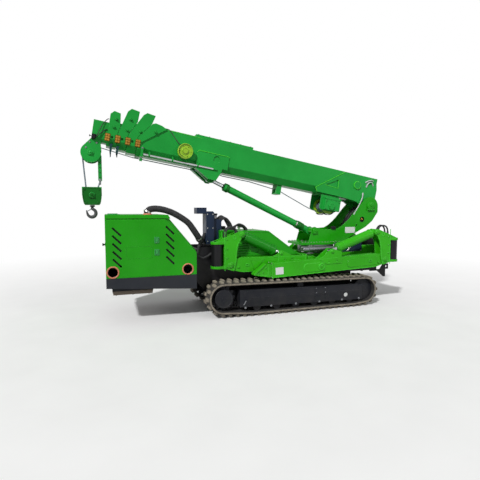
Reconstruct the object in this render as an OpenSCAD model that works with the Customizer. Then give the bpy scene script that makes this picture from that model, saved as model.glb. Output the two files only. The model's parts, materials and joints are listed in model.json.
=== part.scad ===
// Compact crawler crane with four folding outrigger legs and a five-section telescopic boom.
// Stored for travel: legs folded over the tracks, boom resting low over the engine hood.
// Frame: origin on the ground under the middle of the machine, +X towards the slewing column,
// -X towards the engine hood, -Y the side with the duct hose, +Z up. All lengths in millimetres.

/* [Machine] */
// Half of the overall length, to the head sheave at one end and the tow eyes at the other
machine_half = 1651; // [1600:1:1720]
// Distance from the middle plane to the outer edge of a track
track_outer_y = 450; // [430:1:500]

/* [Tracks] */
// Width of a rubber track
track_w = 200; // [170:1:210]
// Pitch from lug to lug
lug_pitch = 72; // [60:1:90]
// Height of a lug
lug_h = 18; // [12:1:24]
// Thickness of the rubber belt under the lugs
belt_t = 22; // [16:1:26]
// Length of a lug along the track
lug_len = 34; // [24:1:40]
// Centre of the drive sprocket along the machine
sprocket_x = -405; // [-440:1:-380]
// Height of the sprocket's centre
sprocket_z = 185; // [180:1:195]
// Radius of the belt's outer face round the sprocket
sprocket_wrap_r = 147; // [140:1:152]
// Centre of the idler along the machine
idler_x = 1169; // [1140:1:1200]
// Height of the idler's centre
idler_z = 172; // [165:1:178]
// Radius of the belt's outer face round the idler
idler_wrap_r = 140; // [132:1:146]
// First point of the flat ground run
ground_x0 = -100; // [-150:1:-60]
// Last point of the flat ground run
ground_x1 = 1040; // [1000:1:1060]
// Number of lower track rollers on a side
roller_count = 6; // [4:1:8]
// Radius of a lower track roller
roller_r = 42; // [36:1:46]

/* [Chassis] */
// Half width of the centre chassis box
chassis_half_w = 200; // [180:1:205]
// Underside of the centre chassis box
chassis_z0 = 150; // [130:1:180]
// Top of the centre chassis box, where the deck sits
chassis_z1 = 432; // [420:1:436]
// Top of the green deck
deck_z = 560; // [550:1:570]
// Half width of the tank body
tank_half_w = 215; // [200:1:216]
// Height of the tank body's top at its front end
tank_top_z = 827; // [780:1:840]

/* [Hood] */
// Front end of the engine hood
hood_x0 = -1455; // [-1480:1:-1430]
// Rear end of the engine hood
hood_x1 = -660; // [-700:1:-650]
// Half width of the engine hood
hood_half_w = 400; // [380:1:430]
// Top of the engine hood
hood_top_z = 985; // [950:1:1000]
// Lower edge of the green hood, where the dark skirt begins
hood_low_z = 433; // [425:1:440]
// Where the sloping rear of the hood begins
hood_knee_x = -931; // [-960:1:-900]
// Height of the hood's upright rear edge
hood_rear_z = 655; // [640:1:680]
// Bevel along the hood's upper side edges
hood_bevel = 45; // [30:1:60]
// Sheet thickness of the hood
hood_t = 6; // [4:1:8]

/* [Slewing column] */
// Slewing axis along the machine
slew_x = 810; // [790:1:830]
// Radius of the slewing ring
slew_ring_r = 200; // [190:1:210]
// Underside of the column's base plate
column_base_z = 648; // [640:1:660]
// Boom pivot along the machine
pivot_x = 1431; // [1420:1:1440]
// Boom pivot height
pivot_z = 1071; // [1060:1:1085]
// Outer half width of the column
column_half_w = 150; // [148:1:156]
// Thickness of a column side plate
column_plate_t = 12; // [8:1:13]
// Lower pin of the luffing cylinder, along the machine
luff_base_x = 712; // [705:1:720]
// Lower pin of the luffing cylinder, height
luff_base_z = 800; // [794:1:806]

/* [Boom] */
// Rise of the stored boom from the horizontal, in degrees
boom_rise = 9.6; // [8.5:0.1:11]
// Half width of the outermost boom section
boom_half_w = 120; // [119:1:122]
// Underside of the outermost section above the boom pivot's line
boom_low = 35; // [33:1:38]
// Depth of the outermost section
boom_depth = 290; // [286:1:296]
// Height of the bevel along the boom's lower edges
corner_h = 65; // [50:1:70]
// Width of the bevel along the boom's lower edges
corner_w = 45; // [35:1:48]
// Wall of the outermost section
base_wall = 8; // [6:0.5:8.5]
// Wall of each inner section
inner_wall = 6; // [5:0.5:6.5]
// Clearance between one section and the next
section_gap = 6; // [5.5:0.5:7]
// Length of the outermost section forward of the boom pivot
base_len = 2640; // [2600:1:2650]
// Step from one section's collar to the next with the boom closed
collar_pitch = 90; // [86:1:92]
// Centre of the boom tip sheave forward of the pivot
sheave_s = 3030; // [3010:1:3050]
// Centre of the boom tip sheave above the pivot's line
sheave_h = -26; // [-36:1:-20]
// Luffing cylinder's upper pin forward of the pivot
rod_pin_s = 1888; // [1860:1:1910]
// Luffing cylinder's upper pin above the pivot's line
rod_pin_h = -44; // [-50:1:-42]
// Radius of the luffing cylinder's barrel
luff_barrel_r = 36; // [30:1:40]
// Radius of the luffing cylinder's rod
luff_rod_r = 20; // [16:1:24]

/* [Outrigger legs] */
// Slewing axis of the front legs along the machine
front_leg_x = -434; // [-440:1:-430]
// Slewing axis of the front legs from the middle plane
front_leg_y = 284; // [283:1:286]
// Slewing axis of the rear legs along the machine
rear_leg_x = 1550; // [1545:1:1560]
// Slewing axis of the rear legs from the middle plane
rear_leg_y = 385; // [384:1:388]
// Radius of a black corner post
post_r = 55; // [50:1:56]
// Half width of an outer leg beam
beam_half_w = 42; // [40:0.5:42]
// Depth of an outer leg beam
beam_depth = 144; // [138:1:146]
// Wall of an outer leg beam
beam_wall = 4; // [3:0.5:4.5]
// Clearance round the inner leg beam
beam_gap = 5; // [5:0.5:6]
// Height of the leg's fold pin
fold_z = 492; // [488:1:496]
// Distance of the fold pin from the leg's slewing axis
fold_u = 128; // [124:1:130]
// Height of the leg cylinder's upper pin
leg_pin_z = 790; // [784:1:794]
// Distance of the leg cylinder's upper pin from the slewing axis
leg_pin_u = 238; // [230:1:240]
// Thickness of a turret side plate
turret_plate_t = 10; // [8:0.5:10]
// Radius of a leg cylinder's barrel
leg_barrel_r = 48; // [42:1:48]
// Radius of a leg cylinder's rod
leg_rod_r = 20; // [16:1:24]

/* [Hook] */
// Lowest point of the hook
hook_low_z = 947; // [930:1:960]
// Top of the hook block
block_top_z = 1240; // [1230:1:1250]
// Radius of the hoist rope
rope_r = 4; // [3:0.5:5]

/* [Hidden] */
$fn = 48;
far = 4000;
seat = 0.3;
pin_play = 0.1;

track_inner_y = track_outer_y - track_w;
track_mid_y = track_outer_y - track_w / 2;

machine_green = [0.16, 0.62, 0.20];
boom_green = [0.15, 0.55, 0.25];
leg_green = [0.22, 0.66, 0.16];
frame_black = [0.06, 0.06, 0.08];
panel_grey = [0.20, 0.21, 0.25];
skirt_grey = [0.25, 0.25, 0.28];
navy = [0.12, 0.16, 0.24];
rubber_grey = [0.16, 0.15, 0.14];
steel_grey = [0.62, 0.64, 0.67];
reel_lime = [0.70, 0.82, 0.16];
rope_grey = [0.35, 0.35, 0.37];

// A plate drawn in X and Z, standing from y0 to y1
module side_plate(y0, y1) {
    translate([0, y1, 0]) rotate([90, 0, 0]) linear_extrude(y1 - y0) children();
}
// A pin along Y through x and z
module pin_y(x, z, r, y0, y1) {
    translate([x, y1, z]) rotate([90, 0, 0]) cylinder(r = r, h = y1 - y0);
}
// A block between two corners
module block(lo, hi) {
    translate(lo) cube(hi - lo);
}
// The same on both sides of the middle plane
module both_sides() {
    children();
    mirror([0, 1, 0]) children();
}
// A round bar in the X-Z plane from one point towards another, from a to b along it
module bar(p, q, r, a, b) {
    turn = atan2(q[0] - p[0], q[1] - p[1]);
    translate([p[0], 0, p[1]]) rotate([0, turn, 0]) translate([0, 0, a]) cylinder(r = r, h = b - a);
}
// Boom coordinates: s forward from the pivot along the boom, h square to it, upwards
module on_boom() {
    translate([pivot_x, 0, pivot_z]) rotate([0, boom_rise, 0]) mirror([1, 0, 0]) children();
}

// Smooth curve through hand-chosen points, steps per span
function spline_point(a, b, c, d, t) = 0.5 * ((2 * b) + (c - a) * t
    + (2 * a - 5 * b + 4 * c - d) * t * t + (3 * b - a - 3 * c + d) * t * t * t);
function smooth(route, steps) = let (n = len(route)) concat(
    [for (i = [0 : n - 2]) for (k = [0 : steps - 1])
        spline_point(route[max(i - 1, 0)], route[i], route[i + 1], route[min(i + 2, n - 1)], k / steps)],
    [route[n - 1]]);
function unit(v) = v / norm(v);
function side_of(t) = unit([0, 1, 0] - t * t[1]);
// A round tube swept along a route that never runs along Y
module swept_tube(route, r, sides) {
    n = len(route);
    rings = [for (i = [0 : n - 1]) let (
        t = unit(route[min(i + 1, n - 1)] - route[max(i - 1, 0)]), a = side_of(t), b = cross(t, a))
        for (k = [0 : sides - 1]) route[i] + r * (cos(360 * k / sides) * a + sin(360 * k / sides) * b)];
    walls = [for (i = [0 : n - 2]) for (k = [0 : sides - 1])
        [i * sides + k, i * sides + (k + 1) % sides, (i + 1) * sides + (k + 1) % sides,
         (i + 1) * sides + k]];
    caps = [[for (k = [sides - 1 : -1 : 0]) k], [for (k = [0 : sides - 1]) (n - 1) * sides + k]];
    polyhedron(points = rings, faces = concat(walls, caps), convexity = 6);
}

// The track's path is the belt's outer face: two arcs, a flat ground run, two ramps and the top run.
// Angles are those of the outward normal, from +X towards +Z.
belt_low_z = lug_h;
c_front = [sprocket_x, sprocket_z];
c_rear = [idler_x, idler_z];
p_front = [ground_x0, belt_low_z];
p_rear = [ground_x1, belt_low_z];
to_front = c_front - p_front;
to_rear = c_rear - p_rear;
ramp_front_n = atan2(to_front[1], to_front[0]) + asin(sprocket_wrap_r / norm(to_front)) + 90;
ramp_rear_n = atan2(to_rear[1], to_rear[0]) - asin(idler_wrap_r / norm(to_rear)) - 90;
top_n = acos((sprocket_wrap_r - idler_wrap_r) / norm(c_rear - c_front))
    + atan2(c_rear[1] - c_front[1], c_rear[0] - c_front[0]);
function on_arc(c, r, a) = c + r * [cos(a), sin(a)];
arc_front = [top_n, ramp_front_n];
arc_rear = [ramp_rear_n, top_n];
t_front = on_arc(c_front, sprocket_wrap_r, ramp_front_n);
t_rear = on_arc(c_rear, idler_wrap_r, ramp_rear_n);
top_front = on_arc(c_front, sprocket_wrap_r, top_n);
top_rear = on_arc(c_rear, idler_wrap_r, top_n);
arc_len_front = sprocket_wrap_r * (arc_front[1] - arc_front[0]) * PI / 180;
arc_len_rear = idler_wrap_r * (arc_rear[1] - arc_rear[0]) * PI / 180;
runs = [arc_len_front, norm(p_front - t_front), ground_x1 - ground_x0, norm(t_rear - p_rear),
    arc_len_rear, norm(top_front - top_rear)];
function run_start(i) = i == 0 ? 0 : run_start(i - 1) + runs[i - 1];
loop_len = run_start(6);
lug_count = round(loop_len / lug_pitch);
lug_step = loop_len / lug_count;
function on_line(a, b, n, d, off) = a + unit(b - a) * d + off * [cos(n), sin(n)];
// Point at distance d along the path, moved outwards by off
function track_point(d, off) = let (e = d % loop_len)
    e < run_start(1) ? on_arc(c_front, sprocket_wrap_r + off,
        arc_front[0] + (arc_front[1] - arc_front[0]) * e / runs[0])
    : e < run_start(2) ? on_line(t_front, p_front, ramp_front_n, e - run_start(1), off)
    : e < run_start(3) ? on_line(p_front, p_rear, 270, e - run_start(2), off)
    : e < run_start(4) ? on_line(p_rear, t_rear, ramp_rear_n, e - run_start(3), off)
    : e < run_start(5) ? on_arc(c_rear, idler_wrap_r + off,
        arc_rear[0] + (arc_rear[1] - arc_rear[0]) * (e - run_start(4)) / runs[4])
    : on_line(top_rear, top_front, top_n, e - run_start(5), off);
lug_draft = 5;
// Outline of the loop with its lugs, shifted by a share of the pitch
module lugged_outline(shift) {
    polygon([for (i = [0 : lug_count - 1]) let (d = (i + shift) * lug_step)
        each [track_point(d, 0), track_point(d + lug_draft, lug_h),
              track_point(d + lug_len - lug_draft, lug_h), track_point(d + lug_len, 0)]]);
}
module belt_inside() {
    polygon([for (i = [0 : 2 * lug_count - 1]) track_point(i * lug_step / 2, -belt_t)]);
}
centre_gap = 14;
module track() {
    color(rubber_grey) difference() {
        union() {
            side_plate(-track_outer_y, -track_mid_y - centre_gap / 2) lugged_outline(0);
            side_plate(-track_mid_y + centre_gap / 2, -track_inner_y) lugged_outline(0.5);
            side_plate(-track_mid_y - centre_gap, -track_mid_y + centre_gap)
                polygon([for (i = [0 : 2 * lug_count - 1]) track_point(i * lug_step / 2, 0)]);
        }
        side_plate(-track_outer_y - 1, -track_inner_y + 1) belt_inside();
    }
}

// Track frame: a closed box between the track runs with a creased side cover
frame_x0 = -244;
frame_x1 = 1148;
frame_inner_y = track_inner_y + 25;
frame_outer_y = track_outer_y - 25;
cover_proud = 14;
frame_profile = [[frame_x0, 92], [frame_x1, 73], [frame_x1, 234], [frame_x0, 257]];
wheel_arm_t = 12;
idler_half_w = 45;
roller_z = lug_h + belt_t + roller_r + 2;
carrier_r = 34;
carrier_x = 420;
carrier_z = 265;
cover_end = 75;
module track_frame() {
    color(panel_grey) {
        difference() {
            side_plate(-frame_outer_y, -frame_inner_y) polygon(frame_profile);
            pin_y(c_rear[0], c_rear[1], idler_r + 10, -track_mid_y - idler_half_w - 5,
                -track_mid_y + idler_half_w + 5);
        }
        intersection() {
            side_plate(-frame_outer_y - cover_proud, -frame_outer_y) polygon(frame_profile);
            translate([frame_x0, 0, 0]) rotate([90, 0, 90]) linear_extrude(frame_x1 - frame_x0)
                polygon([[-frame_outer_y, 60], [-frame_outer_y - cover_proud, 164],
                    [-frame_outer_y, 270]]);
            linear_extrude(300) polygon([[frame_x0, -frame_outer_y],
                [frame_x0 + cover_end, -frame_outer_y - cover_proud],
                [frame_x1 - cover_end, -frame_outer_y - cover_proud], [frame_x1, -frame_outer_y]]);
        }
        side_plate(-frame_inner_y - wheel_arm_t, -frame_inner_y) {
            hull() {
                translate(c_front) circle(r = 62);
                translate([frame_x0 + 40, 174]) square([80, 110], center = true);
            }
            hull() {
                translate(c_rear) circle(r = 55);
                translate([frame_x1 - 40, 154]) square([80, 110], center = true);
            }
        }
        for (i = [0 : roller_count - 1])
            pin_y(-60 + i * (ground_x1 + 20) / (roller_count - 1), roller_z, roller_r,
                -track_mid_y - 52, -track_mid_y + 52);
        pin_y(carrier_x, carrier_z, carrier_r, -track_mid_y - 40, -track_mid_y + 40);
    }
}

// Sprocket with its hub motor in front and the plain idler at the rear
tooth_count = 12;
wheel_clear = 1;
sprocket_r = sprocket_wrap_r - belt_t - wheel_clear;
idler_r = idler_wrap_r - belt_t - wheel_clear;
module sprocket() {
    tooth_root = sprocket_r - 22;
    side_plate(-track_mid_y - 20, -track_mid_y + 20) polygon([for (i = [0 : tooth_count - 1])
        let (a = 360 * i / tooth_count) each [
            on_arc(c_front, tooth_root, a - 9), on_arc(c_front, sprocket_r, a - 5),
            on_arc(c_front, sprocket_r, a + 5), on_arc(c_front, tooth_root, a + 9)]]);
    pin_y(c_front[0], c_front[1], 84, -frame_outer_y, -track_mid_y);
    pin_y(c_front[0], c_front[1], 60, -track_mid_y, -frame_inner_y - wheel_arm_t - seat);
}
module idler() {
    hub_half = idler_half_w + 5 - seat;
    pin_y(c_rear[0], c_rear[1], idler_r, -track_mid_y - idler_half_w, -track_mid_y + idler_half_w);
    pin_y(c_rear[0], c_rear[1], 40, -track_mid_y - hub_half, -track_mid_y + hub_half);
}
module track_wheels() {
    color(skirt_grey) {
        sprocket();
        idler();
    }
}

// Chassis: the box between the tracks, cross tubes to the track frames and the rails to the engine
cross_tube_r = 52;
cross_tube_x = [60, 880];
rail_x0 = -1300;
skirt_front_z = 346;
floor_t = 2;
rail_z0 = skirt_front_z + floor_t + seat;
chassis_x0 = -380;
chassis_x1 = 1150;
tow_x = machine_half;
tow_t = 16;
tow_y = 240;
tow_eye_r = 14;
tow_len = tow_x - 151;
rail_end = chassis_x0 - seat;
module engine_rails() {
    both_sides() {
        block([rail_x0, -chassis_half_w + 10, rail_z0], [rail_end, -chassis_half_w + 70, chassis_z1]);
        side_plate(-chassis_half_w, -chassis_half_w + 10) polygon([[-640, rail_z0], [-560, 260],
            [rail_end, chassis_z0], [rail_end, chassis_z1], [-404, chassis_z1], [-404, 486],
            [-466, 486], [-466, 660], [-600, 660], [-640, chassis_z1]]);
    }
    block([-600, -chassis_half_w + 10, 440], [-585, chassis_half_w - 10, 640]);
}
module chassis() {
    color(frame_black) difference() {
        union() {
            block([chassis_x0, -chassis_half_w, chassis_z0], [chassis_x1, chassis_half_w, chassis_z1]);
            block([chassis_x1, -chassis_half_w, 340], [tow_len, chassis_half_w, chassis_z1]);
            for (x = cross_tube_x) pin_y(x, 190, cross_tube_r, -frame_inner_y, frame_inner_y);
            both_sides() side_plate(-chassis_half_w - tow_t, -chassis_half_w) polygon([
                [tow_x - 251, 345], [tow_x - 111, 345], [tow_x - 70, 405], [tow_x, 405], [tow_x, 345],
                [tow_x - 40, 345], [tow_x - 40, 258], [tow_x - 62, 258], [tow_x - 151, 330],
                [tow_x - 251, 330]]);
            block([chassis_x1, -120, 200], [chassis_x1 + 15, 120, 340]);
            engine_rails();
        }
        both_sides() pin_y(tow_x - 26, 375, tow_eye_r, -chassis_half_w - 30, -chassis_half_w + 10);
    }
}
deck_front_x = -404;
deck_rear_x = 1520;
deck_half_w = 200;
pocket_x = [300, 620, 1100];
pocket_z = [460, 530];
pocket_len = 150;
module deck() {
    color(leg_green) {
        difference() {
            block([deck_front_x, -deck_half_w, chassis_z1], [deck_rear_x, deck_half_w, deck_z]);
            block([500, -120, deck_z - 20], [deck_rear_x - 60, 120, deck_z + 1]);
            both_sides() for (x = pocket_x)
                block([x, -deck_half_w - 1, pocket_z[0]], [x + pocket_len, -deck_half_w + 12, pocket_z[1]]);
        }
        both_sides() block([1180, -deck_half_w, deck_z], [deck_rear_x, -deck_half_w + 20, deck_z + 70]);
    }
}

// Four black posts on two cross members; the leg turrets turn on their spigots
jaw_t = 24;
jaw_low_z = 484;
jaw_top_z = 697;
post_z0 = jaw_low_z + seat;
post_z1 = jaw_top_z - seat;
spigot_r = 28;
cross_z0 = jaw_low_z + 4;
cross_z1 = jaw_top_z - 4;
module corner_post(x, y) {
    translate([x, -y, 0]) {
        translate([0, 0, post_z0]) cylinder(r = post_r, h = post_z1 - post_z0);
        translate([0, 0, jaw_low_z - jaw_t - 6]) cylinder(r = spigot_r,
            h = jaw_top_z - jaw_low_z + 2 * jaw_t + 12);
    }
}
module corner_posts() {
    color(frame_black) both_sides() {
        corner_post(front_leg_x, front_leg_y);
        corner_post(rear_leg_x, rear_leg_y);
        block([front_leg_x - 30, -front_leg_y, cross_z0], [deck_front_x, 0, cross_z1]);
        block([deck_rear_x, -rear_leg_y, cross_z0], [rear_leg_x + 30, 0, cross_z1]);
    }
}

// Tank body: flat top, long slope towards the column, dark louvres in its side
louvre_x = [-202, -76];
louvre_z = [575, 700];
louvre_count = 5;
tank_x0 = -385;
tank_profile = [[tank_x0, deck_z], [tank_x0, tank_top_z], [139, tank_top_z - 15], [485, deck_z + 3],
    [485, deck_z]];
module tank_body() {
    pitch = (louvre_z[1] - louvre_z[0]) / louvre_count;
    color(machine_green) difference() {
        side_plate(-tank_half_w, tank_half_w) polygon(tank_profile);
        both_sides() for (i = [0 : louvre_count - 1])
            block([louvre_x[0], -tank_half_w - 1, louvre_z[0] + i * pitch + 6],
                [louvre_x[1], -tank_half_w + 14, louvre_z[0] + (i + 1) * pitch - 4]);
        both_sides() for (k = [0, 1]) hull() for (x = [-40, 10])
            pin_y(x, 655 - 50 * k, 14, -tank_half_w - 1, -tank_half_w + 10);
    }
}

// Valve tower: a narrow column of control valves with a box at its top and a lower one beside it
tower_x = [-520, -440];
tower_y = 212;
tower_top_z = 1014;
tower_cut = 12;
module valve_tower() {
    color(navy) {
        side_plate(-tower_y, -60) polygon([[tower_x[0], cross_z1], [tower_x[0], tower_top_z - tower_cut],
            [tower_x[0] + tower_cut, tower_top_z], [tower_x[1] - tower_cut, tower_top_z],
            [tower_x[1], tower_top_z - tower_cut], [tower_x[1], cross_z1]]);
        side_plate(-tower_y + 4, -80) polygon([[-612, 990], [-612, 1050], [-515, 1050], [-515, 990]]);
        side_plate(-180, 20) polygon([[tower_x[1], 720], [tower_x[1], 938], [-357, 932],
            [-357, tank_top_z + 2], [tank_x0 - 2, tank_top_z + 2], [tank_x0 - 2, 720]]);
    }
}

// Engine hood: a bevelled sheet shell with slanted slots and two round openings on each side
hole_r = 44;
hole_z = 486;
hole_x = [-1398, -742];
slot_count = 5;
slot_pitch = 68;
slot_half = 36;
slot_r = 8;
slot_x = [-1360, -902];
slot_top_z = [838, 845];
module hood_outline(inset) {
    polygon([[hood_x0, hood_low_z], [hood_x1, hood_low_z], [hood_x1, hood_rear_z - inset * 0.4],
        [hood_knee_x - inset * 0.4, hood_top_z - inset], [hood_x0, hood_top_z - inset]]);
}
module hood_solid(skin) {
    hull() {
        side_plate(-hood_half_w + skin, hood_half_w - skin) offset(delta = -skin) hood_outline(hood_bevel);
        side_plate(-hood_half_w + hood_bevel + skin * 0.4, hood_half_w - hood_bevel - skin * 0.4)
            offset(delta = -skin) hood_outline(0);
    }
}
module hood() {
    color(machine_green) difference() {
        hood_solid(0);
        hood_solid(hood_t);
        block([hood_x0 + hood_t, -hood_half_w + hood_t, hood_low_z - 1],
            [hood_x1 - hood_t, hood_half_w - hood_t, hood_low_z + 20]);
        both_sides() {
            for (x = hole_x) pin_y(x, hole_z, hole_r, -hood_half_w - 1, -hood_half_w + 20);
            for (c = [0, 1]) for (i = [0 : slot_count - 1])
                translate([slot_x[c], 0, slot_top_z[c] - i * slot_pitch]) rotate([0, 45, 0])
                    block([-slot_half * 1.414, -hood_half_w - 1, -slot_r],
                        [slot_half * 1.414, -hood_half_w + 20, slot_r]);
        }
    }
}
skirt_t = 8;
skirt_rear_z = 299;
tray_x = [-1400, -1060];
module hood_skirt() {
    color(skirt_grey) difference() {
        union() {
            side_plate(-hood_half_w, hood_half_w) polygon([[hood_x0, skirt_front_z], [hood_x1, skirt_rear_z],
                [hood_x1, hood_low_z - seat], [hood_x0, hood_low_z - seat]]);
            block([tray_x[0], -300, 300], [tray_x[1], 300, skirt_front_z]);
        }
        side_plate(-hood_half_w + skirt_t, hood_half_w - skirt_t) polygon([
            [hood_x0 + skirt_t, skirt_front_z + floor_t], [hood_x1 - skirt_t, skirt_front_z + floor_t],
            [hood_x1 - skirt_t, hood_low_z], [hood_x0 + skirt_t, hood_low_z]]);
        block([hood_x1 - skirt_t - 1, -206, skirt_front_z + floor_t], [hood_x1 + 1, 206, hood_low_z]);
    }
}
engine_x = [-1290, -820];
engine_top = 800;
module engine_block() {
    color(frame_black) union() {
        block([engine_x[0], -230, chassis_z1 + seat], [engine_x[1], 230, engine_top]);
        pin_y(engine_x[1] - 200, 680, 110, -300, 300);
    }
}
duct_r = 30;
duct_y = -hood_half_w + 60;
duct_z = hood_top_z + seat;
duct_route = [[-1092, duct_y, duct_z], [-1092, duct_y, duct_z + 12], [-1092, duct_y, duct_z + 24],
    [-1070, duct_y + 6, duct_z + 46], [-1020, duct_y + 16, duct_z + 53], [-950, -312, 1030],
    [-865, -304, 1002], [-780, -297, 955], [-715, -290, 908], [-675, -283, 858], [-640, -266, 810],
    [-610, -242, 770], [-590, -215, 735]];
module duct_hose() {
    color(rope_grey) {
        swept_tube(smooth(duct_route, 3), duct_r, 12);
    }
}

// Slewing ring, its drive, and the column with its curved side plates
ring_top_z = column_base_z - 3;
module slew_ring() {
    color(steel_grey) translate([slew_x, 0, 0]) {
        translate([0, 0, deck_z]) cylinder(r = slew_ring_r - 35, h = 42, $fn = 64);
        translate([0, 0, deck_z + 42]) cylinder(r = slew_ring_r, h = ring_top_z - deck_z - 42, $fn = 64);
    }
}
drive_r = 34;
drive_z = 609;
drive_y = slew_ring_r + drive_r + seat;
module slew_drive() {
    color(steel_grey) {
        translate([517, -drive_y, drive_z]) rotate([0, 90, 0]) cylinder(r = drive_r, h = 138);
        translate([655, -drive_y, drive_z]) rotate([0, 90, 0]) cylinder(r = drive_r - 8, h = 290);
        block([560, -drive_y - 20, deck_z], [640, -deck_half_w + 18, deck_z + 10]);
        block([575, -drive_y - 14, deck_z], [625, -drive_y + 14, drive_z]);
    }
}
base_plate_t = 26;
base_plate_x = [545, 1085];
column_z0 = column_base_z + base_plate_t;
pivot_boss_r = 104;
pivot_pin_r = 30;
luff_pin_r = 20;
inner_y = column_half_w - column_plate_t;
cylinder_half_w = 45;
// Bend of the column's lower edge, which passes over the stored rear legs' cylinders
column_throat = [1254, 776];
module column_outline() {
    difference() {
        union() {
            translate([pivot_x, pivot_z]) circle(r = pivot_boss_r);
            translate([luff_base_x, luff_base_z]) circle(r = 42);
            polygon([[642, column_z0], [670, 770], [712, 842], [748, 824], [850, 812], [1007, 822],
                [1061, 850], [1117, 893], [1169, 943], [1268, 1055], [1345, 1130], [1535, 1071],
                [1534, 1003], [1461, 900], [1367, 830], column_throat, [1080, column_z0]]);
        }
        translate([pivot_x - 108, pivot_z - 153]) circle(r = 33);
        translate([pivot_x - 182, pivot_z - 215]) circle(r = 12);
    }
}
module slew_column() {
    color(machine_green) {
        translate([slew_x, 0, ring_top_z + seat]) cylinder(r = slew_ring_r - 30, h = 20, $fn = 64);
        block([base_plate_x[0], -column_half_w - 20, column_base_z],
            [base_plate_x[1], column_half_w + 20, column_z0]);
        both_sides() {
            side_plate(-column_half_w, -inner_y) column_outline();
            side_plate(-inner_y, -cylinder_half_w - 10) translate([luff_base_x, luff_base_z])
                circle(r = 34);
            pin_y(pivot_x, pivot_z, 46, -column_half_w - 14, -column_half_w);
        }
        pin_y(pivot_x, pivot_z, pivot_pin_r, -column_half_w, column_half_w);
        pin_y(luff_base_x, luff_base_z, luff_pin_r, -column_half_w - 10, column_half_w + 10);
        side_plate(-inner_y, inner_y) polygon([[1070, column_z0], column_throat + [-14, 7],
            [1352, 836], [1345, 848], column_throat + [-22, 19], [1060, 686], [1000, 686],
            [1000, column_z0]]);
        side_plate(-inner_y, inner_y) polygon([[800, column_z0], [900, 780], [908, 774], [812, column_z0]]);
    }
}

// Luffing cylinder: the barrel turns on the column, the rod slides in it
rod_pin = [pivot_x - rod_pin_s * cos(boom_rise) + rod_pin_h * sin(boom_rise),
    pivot_z + rod_pin_s * sin(boom_rise) + rod_pin_h * cos(boom_rise)];
luff_base = [luff_base_x, luff_base_z];
luff_len = norm(rod_pin - luff_base);
gland_at = luff_len - 182;
luff_eye_r = 34;
rod_clear = 0.1;
module luff_barrel() {
    color(boom_green) difference() {
        union() {
            bar(luff_base, rod_pin, luff_barrel_r, 30, gland_at);
            bar(luff_base, rod_pin, luff_barrel_r + 6, gland_at - 44, gland_at);
            bar(luff_base, rod_pin, luff_barrel_r + 5, 120, 160);
            pin_y(luff_base_x, luff_base_z, luff_eye_r + 4, -cylinder_half_w + 10, cylinder_half_w - 10);
        }
        pin_y(luff_base_x, luff_base_z, luff_pin_r + pin_play, -60, 60);
        bar(luff_base, rod_pin, luff_rod_r + rod_clear, 60, gland_at + 1);
    }
}
module luff_rod() {
    color(steel_grey) difference() {
        union() {
            bar(luff_base, rod_pin, luff_rod_r, 160, luff_len);
            pin_y(rod_pin[0], rod_pin[1], luff_eye_r, -28, 28);
        }
        pin_y(rod_pin[0], rod_pin[1], 18, -30, 30);
    }
}

// Boom: nested box sections, each with a collar whose side plates rise as a fan of ears
// Columns: half width, underside, top, rear end, front end, wall
function section(i) = i == 0
    ? [boom_half_w, boom_low, boom_low + boom_depth, -60, base_len, base_wall]
    : let (o = section(i - 1), in = o[5] + section_gap)
        [o[0] - in, o[1] + in, o[2] - in, 80 + 40 * i, base_len + collar_pitch * i, inner_wall];
tip_end_s = sheave_s + 14;
// Share of the bevel that is left on a face drawn in by d from the outermost section
function bevel_left(d) = 1 - d * (corner_w + corner_h - norm([corner_w, corner_h])) / (corner_w * corner_h);
// Half width of a section's flat underside, its faces drawn in by d
function flat_half(i, d) = let (w = section(i)[0] - d) w - corner_w * bevel_left(boom_half_w - w);
module section_prism(i, d, s0, s1) {
    b = section(i);
    w = b[0] - d;
    side = b[1] + d + corner_h * bevel_left(boom_half_w - w);
    translate([s0, 0, 0]) rotate([90, 0, 90]) linear_extrude(s1 - s0)
        polygon([[-w, side], [-flat_half(i, d), b[1] + d], [flat_half(i, d), b[1] + d],
            [w, side], [w, b[2] - d], [-w, b[2] - d]]);
}
module section_box(i, s0, s1) {
    section_prism(i, 0, s0, s1);
}
module section_hollow(i, s0, s1) {
    section_prism(i, section(i)[5], s0, s1);
}
collar_gap = 4;
collar_drop = 12;
ear_t = 12;
lean_from_h = 196;
fan_rear = [[base_len - 38, 157], [base_len - 250, 322]];
// Columns: half width, lean of the front edge per millimetre of height, height of the front
// shoulder, top of the ear, ear's length, height where the ear leaves the rear edge
fan = [[132, 0.75, 342, 354, 84, 322], [126, 0.52, 405, 430, 108, 342],
    [120, 0.27, 404, 435, 104, 330], [114, 0, 348, 380, 87, 250]];
function fan_front(i, h) = section(i)[4] - fan[i][1] * max(h - lean_from_h, 0);
function fan_back(i, h) = fan_front(i - 1, h) + collar_gap;
module collar_outline(i) {
    f = fan[i];
    front = section(i)[4];
    shoulder = fan_front(i, f[2]);
    low = section(i)[1] - collar_drop;
    polygon(concat([[front, low], [front, lean_from_h], [shoulder, f[2]], [shoulder - 30, f[3]],
        [shoulder - f[4], f[3] - 9]], i == 0 ? [fan_rear[1], fan_rear[0], [fan_rear[0][0], low]]
        : [[fan_back(i, f[5]), f[5]], [fan_back(i, 0), lean_from_h], [fan_back(i, 0), low]]));
}
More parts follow.
